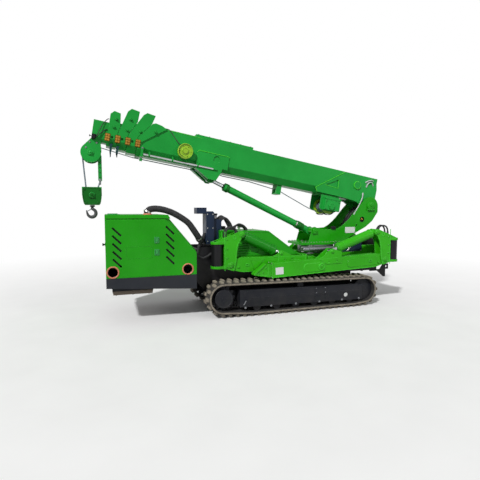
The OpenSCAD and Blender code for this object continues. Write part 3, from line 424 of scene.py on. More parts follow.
def hex_bolts(plane: Plane, spots: Sequence, size: float) -> Shell:
    """Hexagon bolt heads on round washers, one at each spot of the plane.

    Args:
        plane: the plane that the washers lie on.
        spots: pairs of plane coordinates.
        size: half the width across the corners.

    Returns:
        All the heads and washers as one shell.
    """
    washer = lathe([(size * 1.35, 0), (size * 1.35, size * 0.2), (size * 1.0, size * 0.2)], plane, 14)
    head = lathe([(size * 0.99, size * 0.1), (size, size * 0.75), (size * 0.84, size * 0.9)], plane, 6)
    base = np.asarray(plane.origin)
    return (washer + head).copies([plane.at(a, b, 0) - base for a, b in spots])


def bead(route: Sequence, size: float = 4, per_span: int = 1) -> Shell:
    """A weld bead: a thin tube whose radius swells with each ripple, r (1 + 0.16 sin 2 pi s / 2.2r).

    Args:
        route: points of the seam.
        size: the bead's radius r.
        per_span: steps between two points; above 1 the route is made smooth first.

    Returns:
        The bead.
    """
    p = np.asarray(route, float)
    length = length_of(p)
    p = even_steps(p if per_span == 1 else smooth_route(p, per_span), max(int(length / size / 0.9), 4))
    s = np.linspace(0, length, len(p))
    return tube(p, size * (1 + 0.16 * np.sin(2 * np.pi * s / (2.2 * size))), 6)


# Finishes

DUST = (0.38, 0.33, 0.25)


def rgba(colour: tuple, gain: float = 1.0, lift: float = 0.0) -> tuple:
    """The colour times gain plus lift, at most white, with a full alpha."""
    return (*(min(1.0, c * gain + lift) for c in colour), 1.0)


class Tree:
    """A material's node tree, wired by short calls."""

    def __init__(self, name: str) -> None:
        """Makes an empty material with a Principled shader wired to its output.

        Args:
            name: the material's name.
        """
        self.material = bpy.data.materials.new(name)
        self.material.use_nodes = True
        self.nodes = self.material.node_tree.nodes
        self.links = self.material.node_tree.links
        self.nodes.clear()
        self.shader = self.nodes.new("ShaderNodeBsdfPrincipled")
        self.sink = self.nodes.new("ShaderNodeOutputMaterial").inputs["Surface"]
        self.links.new(self.shader.outputs["BSDF"], self.sink)
        self.place = self.nodes.new("ShaderNodeTexCoord").outputs["Object"]

    def plug(self, value: object, socket: Socket) -> None:
        """Links value into the socket if it is an output, or else sets it there.

        Args:
            value: an output, a number or a colour.
            socket: the input.
        """
        if isinstance(value, Socket):
            self.links.new(value, socket)
        else:
            socket.default_value = value

    def shade(self, **values: object) -> None:
        """Fills inputs of the shader, each named with _ for a space."""
        for name, value in values.items():
            self.plug(value, self.shader.inputs[name.replace("_", " ")])

    def add(self, kind: str, output: str | int, values: dict, **choices: object) -> Socket:
        """Adds a node, makes its choices and fills its inputs.

        Args:
            kind: the node's type without its first word.
            output: which of its outputs is wanted.
            values: what goes into its inputs, by their names or numbers.
            choices: its own settings, such as operation.

        Returns:
            The wanted output.
        """
        node = self.nodes.new("ShaderNode" + kind)
        for key, choice in choices.items():
            setattr(node, key, choice)
        for key, value in values.items():
            self.plug(value, node.inputs[key])
        return node.outputs[output]

    def noise(self, scale: float, detail: float = 2.0, rough: float = 0.5) -> Socket:
        """Noise between 0 and 1 over the object's own coordinates."""
        return self.add("TexNoise", "Fac", {"Vector": self.place, "Scale": scale, "Detail": detail,
            "Roughness": rough})

    def ramp(self, value: object, lo: float, hi: float, to_lo: float = 0.0, to_hi: float = 1.0) -> Socket:
        """A clamped straight line through (lo, to_lo) and (hi, to_hi)."""
        return self.add("MapRange", "Result", {"Value": value, "From Min": lo, "From Max": hi,
            "To Min": to_lo, "To Max": to_hi})

    def math(self, operation: str, a: object, b: object = 0.0) -> Socket:
        """One arithmetic step of two numbers."""
        return self.add("Math", 0, {0: a, 1: b}, operation=operation)

    def mix(self, share: object, a: object, b: object) -> Socket:
        """Colour a where share is 0 and colour b where it is 1."""
        return self.add("Mix", "Result", {"Factor": share, "A": a, "B": b}, data_type="RGBA")

    def soft_edges(self, radius: float) -> tuple:
        """Rounded normals, and a mask that is 1 on an edge and 0 away from it, for painted edge highlights.

        Args:
            radius: reach of the rounding in metres.

        Returns:
            The normals and the mask.
        """
        soft = self.add("Bevel", "Normal", {"Radius": radius}, samples=4)
        flat = self.add("NewGeometry", "Normal", {})
        dot = self.add("VectorMath", "Value", {0: soft, 1: flat}, operation="DOT_PRODUCT")
        return soft, self.ramp(dot, 0.98, 0.86)

    def bump(self, height: object, distance: float, normal: Socket | None = None) -> Socket:
        """Normals of a height field of that depth in metres, over the given normals."""
        values = {"Strength": 1.0, "Distance": distance, "Height": height}
        return self.add("Bump", "Normal", values if normal is None else values | {"Normal": normal})

    def dusted(self, colour: object, amount: float, top: float) -> Socket:
        """The colour under dry beige dust, thick at the ground and gone at height top.

        Args:
            colour: the colour without dust.
            amount: share that thick dust hides.
            top: height in metres above which there is none.

        Returns:
            The dusted colour.
        """
        height = self.ramp(self.add("SeparateXYZ", "Z", {0: self.place}), 0.0, top, 1.0, 0.0)
        patches = self.ramp(self.noise(9.0, 5.0, 0.62), 0.36, 0.72)
        share = self.math("MULTIPLY", self.math("MULTIPLY", height, patches), amount)
        return self.mix(share, colour, rgba(DUST))


@dataclass(frozen=True)
class Enamel:
    """Sprayed enamel over steel plate with a painted highlight along its edges, and dusty near the ground.
    """

    slot: str
    colour: tuple
    rough: float = 0.3
    dust: float = 0.25
    dust_top: float = 0.7
    # edge: strength of the painted highlight, a lighter coat along edges; edge_r: reach of the rounded
    # normals and of that highlight
    edge: float = 0.45
    edge_r: float = 0.003

    def material(self) -> bpy.types.Material:
        """The finish as a material: uneven coat, rounded edges with a painted highlight, orange-peel skin
        and dust.

        Returns:
            The material.
        """
        t = Tree(self.slot)
        normal, edges = t.soft_edges(self.edge_r)
        clouds = t.ramp(t.noise(2.6, 4.0, 0.55), 0.35, 0.68)
        coat = t.mix(clouds, rgba(self.colour, 0.88), rgba(self.colour, 1.08, 0.004))
        # painted highlight: the coat lightened along edges by the edge mask
        coat = t.mix(t.math("MULTIPLY", edges, self.edge), coat, rgba(self.colour, 1.25, 0.1))
        if self.dust:
            coat = t.dusted(coat, self.dust, self.dust_top)
        rough = t.ramp(t.noise(14.0, 3.0), 0.3, 0.7, self.rough - 0.05, self.rough + 0.08)
        t.shade(Base_Color=coat, Roughness=rough, Specular_IOR_Level=0.2, Coat_Weight=0.04,
            Coat_Roughness=0.15, Normal=t.bump(t.noise(260.0), 0.00012, normal))
        return t.material


@dataclass(frozen=True)
class Rubber:
    """Black rubber; painted, it has dry dust where the mesh's dust attribute is high."""

    slot: str
    colour: tuple = (0.022, 0.021, 0.02)
    dust: float = 0.9
    painted: bool = False

    def material(self) -> bpy.types.Material:
        """The finish as a material: fine pores, scuffs and dust.

        Returns:
            The material.
        """
        t = Tree(self.slot)
        scuffs = t.ramp(t.noise(30.0, 5.0, 0.65), 0.3, 0.75)
        base = t.mix(scuffs, rgba(self.colour), rgba(self.colour, 2.3))
        if self.painted:
            layer = t.add("Attribute", "Fac", {}, attribute_name="dust")
            patches = t.ramp(t.noise(22.0, 5.0, 0.6), 0.28, 0.62, 0.45, 1.0)
            share = t.math("MULTIPLY", t.math("MULTIPLY", layer, patches), self.dust)
            base = t.mix(share, base, rgba(DUST))
        pores = t.math("ADD", t.noise(420.0), t.noise(60.0, 3.0))
        t.shade(Base_Color=base, Roughness=0.78, Normal=t.bump(pores, 0.0006))
        return t.material


@dataclass(frozen=True)
class BareMetal:
    """Unpainted metal with its grain, greased or dulled in patches."""

    slot: str
    metal: Metal
    edge_r: float = 0.0015

    def material(self) -> bpy.types.Material:
        """The finish as a material: metal with uneven gloss, fine grain and soft edges.

        Returns:
            The material.
        """
        colour, rough, depth = self.metal.value
        t = Tree(f"{self.slot}_{self.metal.name.lower()}")
        normal = t.soft_edges(self.edge_r)[0]
        patches = t.ramp(t.noise(11.0, 4.0, 0.6), 0.35, 0.7)
        t.shade(Base_Color=t.mix(patches, rgba(colour, 0.8), rgba(colour)), Metallic=1.0,
            Roughness=t.ramp(t.noise(40.0, 3.0), 0.3, 0.7, rough * 0.8, rough * 1.3),
            Normal=t.bump(t.noise(500.0), depth, normal))
        return t.material


@dataclass(frozen=True)
class Moulding:
    """Moulded plastic with a fine grain and a faint bloom."""

    slot: str
    colour: tuple
    rough: float = 0.4
    shine: float = 0.2

    def material(self) -> bpy.types.Material:
        """The finish as a material: slight unevenness of colour, grain, and rounded edges with a painted
        highlight.

        Returns:
            The material.
        """
        t = Tree(self.slot)
        normal, edges = t.soft_edges(0.002)
        tone = t.mix(t.ramp(t.noise(18.0, 3.0), 0.3, 0.7), rgba(self.colour, 0.9), rgba(self.colour))
        # painted highlight: the tone lightened along edges
        tone = t.mix(t.math("MULTIPLY", edges, 0.4), tone, rgba(self.colour, 1.15, 0.08))
        rough = t.ramp(t.noise(25.0), 0.3, 0.7, self.rough, self.rough + 0.1)
        t.shade(Base_Color=tone, Roughness=rough, Coat_Weight=self.shine,
            Normal=t.bump(t.noise(700.0), 0.00008, normal))
        return t.material


# edge and edge_r below set how strong and how wide each enamel's painted edge highlight is
MACHINE_GREEN = Enamel("machine_green", (0.013, 0.35, 0.003), rough=0.3, dust=0.04)
BOOM_GREEN = Enamel("boom_green", (0.01, 0.36, 0.044), rough=0.34, dust=0.0)
LEG_GREEN = Enamel("leg_green", (0.034, 0.44, 0.005), rough=0.28, dust=0.04, dust_top=0.6, edge=0.8,
    edge_r=0.005)
# painted shade: leg green darkened for the front legs' cylinders, which lie in the shadow of their brackets
PAINTED_SHADE_LEG_GREEN = Enamel("leg_green", (0.008, 0.27, 0.006), rough=0.28, dust=0.0)
# painted highlight: a lighter green for weld beads and rims, for the light that they catch
BEAD_HIGHLIGHT_GREEN = Enamel("boom_green", (0.06, 0.62, 0.03), rough=0.25, dust=0.0, edge=0.5)
FRAME_BLACK = Enamel("frame_black", (0.007, 0.007, 0.009), rough=0.42, dust=0.08, edge=0.25)
PANEL_GREY = Enamel("panel_grey", (0.0085, 0.01, 0.015), rough=0.45, dust=0.08, dust_top=0.3, edge=0.4)
SKIRT_GREY = Enamel("skirt_grey", (0.021, 0.024, 0.031), rough=0.5, dust=0.06, dust_top=0.5, edge=0.2)
PAN_TAN = Enamel("skirt_grey", (0.3, 0.245, 0.19), rough=0.5, dust=0.05, edge=0.3)
NAVY = Enamel("navy", (0.01, 0.022, 0.052), rough=0.36, dust=0.0, edge=0.3)
TRACK_RUBBER = Rubber("track_rubber", painted=True)
HOSE_RUBBER = Rubber("hose_rubber", (0.018, 0.018, 0.019))
STEEL_GREY = BareMetal("steel_grey", Metal.CAST)
BOLT_ZINC = BareMetal("steel_grey", Metal.ZINC, 0.0008)
ROD_CHROME = BareMetal("rod_chrome", Metal.CHROME)
ROPE_STEEL = BareMetal("rope_steel", Metal.WIRE, 0.0005)
ROLLER_BRASS = BareMetal("steel_grey", Metal.BRASS, 0.001)
REEL_LIME = Moulding("reel_lime", (0.33, 0.6, 0.012), shine=0.3)
BLANK_WHITE = Moulding("steel_grey", (0.78, 0.8, 0.78), rough=0.35)
RIM_CORAL = Moulding("machine_green", (0.62, 0.22, 0.12))
LATCH_GREEN = Moulding("machine_green", (0.02, 0.33, 0.06))
PALE_HOSE = Moulding("hose_rubber", (0.52, 0.55, 0.55), rough=0.3)
SCREW_GOLD = BareMetal("steel_grey", Metal.GOLD, 0.0006)
CLAW_TEAL = Enamel("boom_green", (0.012, 0.06, 0.065), rough=0.4, dust=0.0, edge=0.3)
HOOK_GREY = Enamel("steel_grey", (0.075, 0.078, 0.08), rough=0.32, dust=0.0, edge=0.6)
BLOCK_GREEN = Enamel("boom_green", (0.003, 0.15, 0.01), rough=0.36, dust=0.0, edge=0.5)

Finish = Enamel | Rubber | BareMetal | Moulding
_made: dict = {}


def coat(obj: bpy.types.Object, finish: Finish) -> None:
    """Gives the object's mesh that one finish, whose material is made only once.

    Args:
        obj: a mesh object.
        finish: what it is coated with.
    """
    if finish not in _made:
        _made[finish] = finish.material()
    obj.data.materials.clear()
    obj.data.materials.append(_made[finish])


def crease(mesh: bpy.types.Mesh, angle: float = 32.0) -> None:
    """Shades the mesh smooth, with hard edges where faces meet at more than the angle in degrees."""
    mesh.polygons.foreach_set("use_smooth", np.ones(len(mesh.polygons), bool))
    mesh.set_sharp_from_angle(angle=math.radians(angle))


def add_piece(name: str, shell: Shell | Iterable[Shell], finish: Finish, body: str = "root",
        replaced: Sequence = ()) -> bpy.types.Object:
    """Makes a mesh object of the shell, coats it and lets it ride on a body.

    Args:
        name: the piece's name.
        shell: its points and faces, or several shells that become one piece.
        finish: what it is coated with.
        body: the body that it moves with.
        replaced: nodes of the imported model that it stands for.

    Returns:
        The new object.
    """
    if not isinstance(shell, Shell):
        shell = merged(shell)
    mesh = bpy.data.meshes.new(name)
    counts = np.concatenate([np.full(len(f), f.shape[1]) for f in shell.faces])
    corners = np.concatenate([f.ravel() for f in shell.faces])
    mesh.vertices.add(len(shell.points))
    mesh.vertices.foreach_set("co", (shell.points / MM).astype(np.float32).ravel())
    mesh.loops.add(len(corners))
    mesh.loops.foreach_set("vertex_index", corners.astype(np.int32))
    mesh.polygons.add(len(counts))
    starts = np.concatenate([[0], np.cumsum(counts)[:-1]])
    mesh.polygons.foreach_set("loop_start", starts.astype(np.int32))
    mesh.update(calc_edges=True)
    mesh.validate()
    crease(mesh)
    obj = bpy.data.objects.new(name, mesh)
    bpy.context.scene.collection.objects.link(obj)
    coat(obj, finish)
    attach(obj, body)
    if replaced:
        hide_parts(*replaced)
    LOG.info("%s: %d points on %s", name, len(shell.points), body)
    return obj


NODE_FINISH = {"chassis": FRAME_BLACK, "deck": LEG_GREEN, "corner_posts": FRAME_BLACK,
    "tank_body": MACHINE_GREEN, "valve_tower": NAVY, "hood": MACHINE_GREEN, "hood_skirt": SKIRT_GREY,
    "engine_block": FRAME_BLACK, "duct_hose": HOSE_RUBBER, "track": TRACK_RUBBER, "track_frame": PANEL_GREY,
    "track_wheels": PANEL_GREY, "slew_ring": STEEL_GREY, "slew_drive": STEEL_GREY,
    "slew_column": MACHINE_GREEN, "luff_barrel": BOOM_GREEN, "luff_rod": ROD_CHROME, "boom": BOOM_GREEN,
    "winch_frame": BOOM_GREEN, "winch_drum": REEL_LIME, "cable_reel": REEL_LIME, "rope_falls": ROPE_STEEL,
    "hook_block": BOOM_GREEN, "hook": STEEL_GREY, "turret": LEG_GREEN, "beam": LEG_GREEN, "foot": LEG_GREEN,
    # the front barrels take the painted shade green
    "leg_barrel": LEG_GREEN, "leg_rod": ROD_CHROME, "leg_barrel_fl": PAINTED_SHADE_LEG_GREEN,
    "leg_barrel_fr": PAINTED_SHADE_LEG_GREEN}


def finish_of(node: str) -> Finish:
    """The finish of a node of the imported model, found by its name with or without its last word."""
    return NODE_FINISH.get(node) or NODE_FINISH[node.rsplit("_", 1)[0]]


def coat_frame_nodes() -> None:
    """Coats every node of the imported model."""
    for name, obj in frame["nodes"].items():
        coat(obj, finish_of(name))
        LOG.info("%s: coated %s", name, finish_of(name).slot)


# Places on the machine

FORWARD = tuple(JOINTS["boom_extend"]["axis"])
SQUARE = (FORWARD[2], 0, -FORWARD[0])


def joint_spot(name: str) -> Array:
    """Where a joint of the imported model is, in millimetres."""
    return MM * np.array(JOINTS[name]["pos_m"])


PIVOT = joint_spot("luff")


def boom_side(side: Side, y: float, s: float = 0.0, h: float = 0.0) -> Plane:
    """The boom's side through (s, h) at distance y from the middle: along it forwards, up square to it."""
    return Plane((PIVOT[0], side.value * y, PIVOT[2]), FORWARD, SQUARE, (0, side.value, 0)).shifted(s, h)


def boom_top(h: float) -> Plane:
    """The level of the boom at height h over the pivot's line: along it forwards, up to +Y, out square."""
    return Plane(tuple(boom_side(Side.RIGHT, 0).at(0, h, 0)), FORWARD, (0, 1, 0), SQUARE)


def on_boom(rows: Sequence) -> Array:
    """Points of the frame for rows (s, y, h): s forwards from the pivot, h square to the boom."""
    s, y, h = np.asarray(rows, float).T
    return boom_side(Side.RIGHT, 0).at(s, h, y)


def round_rim(profile: Sequence, plane: Plane, sides: int = 40) -> Shell:
    """A turned ring: the closed profile (r, h) carried round the plane's out direction.

    Args:
        profile: pairs (r, h) round the ring's section.
        plane: its origin is the ring's centre.
        sides: steps round the ring.

    Returns:
        The ring.
    """
    r, h = np.asarray(profile, float).T
    u = full_turn(sides)[:, None]
    return closed_loop(plane.at(r * np.cos(u), r * np.sin(u), h))


def pin_cap(plane: Plane, r: float, proud: float) -> Shell:
    """The end of a pin: a turned cap with a chamfer, a grease nipple and a keeper plate with two bolts.

    Args:
        plane: its origin is the pin's centre on the face that it looks out of.
        r: the pin's radius.
        proud: how far the cap stands off the face.

    Returns:
        The cap and its fittings.
    """
    cap = lathe([(r, -1), (r, proud * 0.6), (r * 0.86, proud), (r * 0.3, proud)], plane, 28)
    nipple = lathe([(4.5, proud - 1), (4.5, proud + 3), (3, proud + 4), (3.6, proud + 8),
        (1.5, proud + 10)], plane, 10)
    keeper = plate(rounded(-r * 1.15, -r * 1.25, r * 1.15, -r * 0.78, r * 0.12), plane, 0, proud * 0.85)
    bolts = hex_bolts(plane.shifted(c=proud * 0.85), [(-r * 0.85, -r), (r * 0.85, -r)], r * 0.17)
    return cap + nipple + keeper + bolts


def hose(points: Sequence, r: float, per_span: int = 6) -> Shell:
    """A hose through the points with a crimped steel-like sleeve at each end as part of its form.

    Args:
        points: what it passes through.
        r: its radius.
        per_span: steps between two points.

    Returns:
        The hose with its sleeves.
    """
    route = smooth_route(points, per_span)
    steps = length_of(route)
    route = even_steps(route, max(12, int(steps / 12)))
    s = np.linspace(0, steps, len(route))
    near = np.minimum(s, steps - s)
    return tube(route, np.where(near < 28, r * 1.32, r), 12)


# Tracks

SPROCKET = (-405, 185)


@dataclass
class RubberTrack:
    """One rubber track: a belt round the sprocket and the idler with two staggered rows of lugs."""

    side: Side
    belt: float = 22
    lug: float = 18
    pitch: float = 72
    gap: float = 14
    ground_front: float = -100
    ground_rear: float = 1040
    sprocket_r: float = 147
    idler_r: float = 140
    sprocket: tuple = SPROCKET
    idler: tuple = (1169, 172)
    arc_steps: int = 24
    path_steps: int = 260

    def __post_init__(self) -> None:
        """Works out the belt's outer path, its outward directions and its length."""
        low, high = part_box(self.node("track"))
        self.y = sorted((MM * abs(low.y), MM * abs(high.y)))
        self.path, self.normal = self.outline()
        steps = np.linalg.norm(np.diff(self.path, axis=0, append=self.path[:1]), axis=1)
        self.at = np.concatenate([[0], np.cumsum(steps)])
        self.length = self.at[-1]

    def node(self, kind: str) -> str:
        """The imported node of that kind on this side."""
        return f"{kind}_{'l' if self.side is Side.LEFT else 'r'}"

    def outline(self) -> tuple:
        """The belt's outer path as points and outward directions, (x, z) each.

        A wheel's arc is c + r (cos u, sin u). The ramp from a ground point p touches the wheel where
        the outward direction stands at atan2(c - p) + 90 or - 90 degrees, corrected by
        asin(r / |c - p|).

        Returns:
            Points and unit directions.
        """
        c0, c1 = np.array(self.sprocket), np.array(self.idler)
        p0, p1 = np.array([self.ground_front, self.lug]), np.array([self.ground_rear, self.lug])
        d0, d1 = c0 - p0, c1 - p1
        ramp0 = math.atan2(d0[1], d0[0]) + math.asin(self.sprocket_r / np.linalg.norm(d0)) + math.pi / 2
        ramp1 = math.atan2(d1[1], d1[0]) - math.asin(self.idler_r / np.linalg.norm(d1)) - math.pi / 2
        span = c1 - c0
        top = math.atan2(span[1], span[0])
        top += math.acos((self.sprocket_r - self.idler_r) / np.linalg.norm(span))
        n = self.arc_steps
        u0, u1 = np.linspace(top, ramp0, n), np.linspace(ramp1, top, n)
        down = np.full(2, -math.pi / 2)
        turn = np.concatenate([u0, down, u1])
        out = np.stack([np.cos(turn), np.sin(turn)], axis=1)
        middle = np.stack([p0, p1])
        points = np.vstack([c0 + self.sprocket_r * out[:n], middle, c1 + self.idler_r * out[n + 2:]])
        return points, out

    def carried(self, d: Array, y: Array, off: Array) -> Array:
        """Points at distance d along the path, y out from the middle and off outwards from the belt.

        Args:
            d: distances along the path.
            y: distances from the machine's middle.
            off: distances off the belt's outer face.

        Returns:
            Points, with x, y and z in the last axis.
        """
        d = np.mod(d, self.length)
        path = np.vstack([self.path, self.path[:1]])
        out = np.vstack([self.normal, self.normal[:1]])
        x, z = (np.interp(d, self.at, path[:, k]) for k in (0, 1))
        nx, nz = (np.interp(d, self.at, out[:, k]) for k in (0, 1))
        size = np.hypot(nx, nz)
        return np.stack([x + off * nx / size, self.side.value * y, z + off * nz / size], axis=-1)

    def belt_shell(self) -> tuple:
        """The belt: a flat section with softened rims carried round the path, and its dust.

        Returns:
            The shell, and the dust at each of its points.
        """
        inner, outer = self.y
        e = 6
        y = np.array([inner, inner, inner + e, outer - e, outer, outer, outer - e, inner + e])
        off = np.array([-self.belt + e, -e, 0, 0, -e, -self.belt + e, -self.belt, -self.belt])
        dust = np.array([0.1, 0.25, 0.05, 0.05, 0.85, 0.75, 0.0, 0.0])
        d = np.linspace(0, self.length, self.path_steps, endpoint=False)
        shape = (len(d), len(y))
        rings = self.carried(np.broadcast_to(d[:, None], shape), np.broadcast_to(y, shape),
            np.broadcast_to(off, shape))
        return closed_loop(rings), np.broadcast_to(dust, shape).ravel()

    def lug_shell(self) -> tuple:
        """All the lugs: blocks with clipped corners, full at the belt and drawn in at their tops.

        Returns:
            The shell, and the dust at each of its points.
        """
        inner, outer = self.y
        middle = (inner + outer) / 2
        count = round(self.length / self.pitch)
        step = self.length / count
        across = np.array([-1, -0.72, 0.72, 1, 1, 0.72, -0.72, -1]) * 0.5
        along = np.array([-0.7, -1, -1, -0.7, 0.7, 1, 1, 0.7]) * 0.5
        height = np.array([-2, self.lug * 0.7, self.lug])
        width = np.array([40, 32, 25])
        reach = np.array([1.0, 0.98, 0.92])
        shells, dust = [], []
        for row, (y0, y1) in enumerate(((middle + self.gap / 2, outer), (inner, middle - self.gap / 2))):
            for k in range(count):
                centre = (k + 0.5 * row + 0.25) * step
                d = centre + width[:, None] * along[None]
                y = (y0 + y1) / 2 + (y1 - y0) * reach[:, None] * across[None]
                off = np.broadcast_to(height[:, None], d.shape)
                shells.append(ring_stack(self.carried(d, y, off)))
                dust.append(np.repeat([0.1, 0.65, 1.0], len(across)))
        return merged(shells), np.concatenate(dust)

    def build(self) -> None:
        """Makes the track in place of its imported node."""
        belt, belt_dust = self.belt_shell()
        lugs, lug_dust = self.lug_shell()
        obj = add_piece(self.node("rubber_track"), belt + lugs, TRACK_RUBBER, "root", [self.node("track")])
        layer = obj.data.attributes.new("dust", "FLOAT", "POINT")
        layer.data.foreach_set("value", np.concatenate([belt_dust, lug_dust]).astype(np.float32))


@dataclass
class TrackFrameTrim:
    """What is bolted to a track frame: inspection cover, bolts, blank plate, hub motor cover."""

    side: Side
    plane_y: float = 425
    crease_z: float = 164
    proud: float = 14
    rises: tuple = (106, 104)

    def slope(self, upper: bool) -> Plane:
        """The creased cover's upper or lower face as a plane, its origin on the crease.

        Args:
            upper: whether it is the upper face.

        Returns:
            The face's plane.
        """
        s = self.side.value
        face = unit((self.rises[0], self.proud) if upper else (self.rises[1], -self.proud))
        up = (0, -s * face[1], face[0])
        out = (0, s * face[0], face[1])
        origin = (0, s * (self.plane_y + self.proud), self.crease_z)
        return Plane(origin, (1, 0, 0), up, out)

    def build(self) -> None:
        """Adds the trim."""
        tag = self.side.name.lower()
        upper, lower = self.slope(True), self.slope(False)
        cover = plate(rounded(566, 8, 698, 72, 12), upper, 0, 4)
        cover += plate(rounded(566, -66, 698, -8, 12), lower, 0, 4)
        cover += frame_bar(rounded(-200, 10, 1100, 80, 10), upper, 6, -1, 2.2)
        add_piece(f"track_inspection_cover_{tag}", cover, PANEL_GREY)
        spots = [(x, -80) for x in (-190, 80, 350, 620, 890, 1100)]
        bolts = hex_bolts(lower, spots, 9)
        bolts += hex_bolts(upper, [(580, 16), (684, 16), (580, 64), (684, 64)], 5.5)
        bolts += plate([(-214, -52), (-204, -52), (-182, -10), (-192, -6)], lower, -1, 4)
        add_piece(f"track_frame_bolts_{tag}", bolts, STEEL_GREY)
        blank = plate(disc(931, -28, 22), lower, 0, 2)
        add_piece(f"track_frame_blank_plate_{tag}", blank, BLANK_WHITE)
        hub = side_view(self.side, self.plane_y, *SPROCKET)
        motor = lathe([(90, -1), (90, 4), (86, 8), (78, 8), (76, 6), (20, 6.5)], hub, 44)
        add_piece(f"sprocket_hub_cover_{tag}", motor, PANEL_GREY)


@dataclass
class EngineHood:
    """What is fixed to the engine hood: rims of its openings, latches, door seam, knob and duct."""

    half_width: float = 400
    front: float = -1455
    top: float = 985
    hole_x: tuple = (-1398, -742)
    hole_z: float = 486
    hole_r: float = 44
    latch_x: float = -1021
    latch_z: tuple = (760, 651)
    duct_r: float = 30
    duct_x: float = -1092
    duct_pitch: float = 11
    rib_steps: int = 7

    def rims(self, side: Side) -> None:
        """Turned rims in the two round openings and behind them a black tube, painted shade inside the
        opening.

        Args:
            side: the machine's side.
        """
        r = self.hole_r
        ring, well = [], []
        for x in self.hole_x:
            at = side_view(side, self.half_width, x, self.hole_z)
            ring.append(round_rim([(r - 2, -10), (r - 2, 3), (r + 2, 6), (r + 8, 5), (r + 11, 0)], at))
            # black tube behind the opening: painted shade
            well.append(round_rim([(r + 1, -7), (r + 4, -7), (r + 4, -50), (r + 1, -50)], at))
        add_piece(f"hood_opening_rims_{side.name.lower()}", ring, RIM_CORAL)
        add_piece(f"hood_opening_wells_{side.name.lower()}", well, FRAME_BLACK)

    def latches(self, side: Side) -> None:
        """Two paddle latches: a dished base, a bent paddle on a hinge barrel and two rivets each.

        Args:
            side: the machine's side.
        """
        shells, rivets = [], []
        for z in self.latch_z:
            at = side_view(side, self.half_width, self.latch_x, z)
            shells.append(frame_bar(rounded(-22, -28, 22, 28, 6), at, 6, -1, 5))
            shells.append(plate(rounded(-20, -26, 20, 26, 5), at, -1, 2, 0.5))
            shells.append(plate([(-12, -20), (10, -16), (14, 4), (14, 18), (-12, 18)], at, 2, 9))
            barrel = at.turned(-16, 16, 6)
            shells.append(lathe([(4, 0), (5, 1), (5, 31), (4, 32)], barrel, 12))
            rivets += [(self.latch_x, z + 23.5), (self.latch_x, z - 23.5)]
        tag = side.name.lower()
        add_piece(f"hood_latches_{tag}", shells, LATCH_GREEN)
        face = side_view(side, self.half_width + 1.5)
        add_piece(f"hood_latch_rivets_{tag}", hex_bolts(face, rivets, 2.8), BOLT_ZINC)

    def seams(self, side: Side) -> None:
        """The service door's raised lip, the strip at the foot, the top's fold, and black liners inside
        that paint the shade behind the slots.

        Args:
            side: the machine's side.
        """
        face = side_view(side, self.half_width)
        lips = frame_bar(rounded(-1285, 600, -1062, 706, 10), face, 2.2, -1, 1.1)
        lips += plate([(-1453, 433.5), (-662, 433.5), (-662, 441.5), (-1453, 441.5)], face, -1, 2.2, 0.8)
        fold = np.array([(0, 950), (3, 953), (0.3, 984.8), (-2, 984)])
        ends = np.array([[-1454.8] * 4, [-896, -898, -917.5, -917.5]])
        lips += ring_stack(face.at(ends, fold[:, 1], fold[:, 0]))
        add_piece(f"hood_seams_{side.name.lower()}", lips, MACHINE_GREEN)
        # black plates inside the side: painted shade behind the slots
        shade_backing = plate([(-1412, 540), (-1300, 540), (-1300, 900), (-1412, 900)], face, -30, -24)
        shade_backing += plate([(-950, 530), (-830, 530), (-830, 840), (-880, 900), (-950, 900)], face, -30, -24)
        add_piece(f"hood_liner_{side.name.lower()}", shade_backing, FRAME_BLACK)

    def knob(self) -> None:
        """The pull knob on the hood's front face and two lifting strips on its top."""
        at = Plane((self.front, -300, 724), (0, 1, 0), (0, 0, 1), (-1, 0, 0))
        grip = lathe([(14, -1), (14, 3), (6, 5), (6, 12), (12, 15), (13, 20), (10, 24)], at, 24)
        add_piece("hood_pull_knob", grip, FRAME_BLACK)
        roof = top_view(self.top)
        strip = [plate(rounded(-1430, y, -1330, y + 20, 4), roof, -1, 6) for y in (-345, 325)]
        add_piece("hood_lifting_strips", strip, LATCH_GREEN)

    def duct(self) -> None:
        """The air duct: a corrugated hose, r (0.95 + 0.06 cos 2 pi s / pitch), over its CAD route."""
        y, z = -self.half_width + 60, self.top + 0.3
        route = smooth_route([(self.duct_x, y, z), (self.duct_x, y, z + 12), (self.duct_x, y, z + 24),
            (-1070, y + 6, z + 46), (-1020, y + 16, z + 53), (-950, -312, 1030), (-865, -304, 1002),
            (-780, -297, 955), (-715, -290, 908), (-675, -283, 858), (-640, -266, 810), (-610, -242, 770),
            (-590, -215, 735)], 12)
        length = length_of(route)
        route = even_steps(route, int(length / self.duct_pitch * self.rib_steps))
        s = np.linspace(0, length, len(route))
        ribs = self.duct_r * (0.95 + 0.06 * np.cos(2 * np.pi * s / self.duct_pitch))
        add_piece("duct_corrugated_hose", tube(route, ribs, 22), HOSE_RUBBER, "root", ["duct_hose"])
        base = top_view(self.top, self.duct_x, y)
        r = self.duct_r
        collar = round_rim([(r, -1), (r, 12), (r + 4, 13), (r + 6, 4), (r + 14, 3), (r + 14, -1)], base)
        add_piece("duct_collar", collar, RIM_CORAL)
        bands = []
        for share in (0.035, 0.955):
            k = int(share * len(route))
            out = unit(route[k + 1] - route[k - 1])
            along = unit(np.cross(out, (0, 1, 0)))
            place = Plane(tuple(route[k]), tuple(along), tuple(np.cross(out, along)), tuple(out))
            bands.append(round_rim([(r, -7), (r * 1.07, -7), (r * 1.07, 7), (r, 7)], place))
            screw = Plane(tuple(place.at(r * 1.07, -10, 0)), place.along, place.out, place.up)
            bands.append(lathe([(4.5, 0), (5.5, 1), (5.5, 18), (3, 20)], screw, 8))
        add_piece("duct_clamp_bands", bands, BOLT_ZINC)

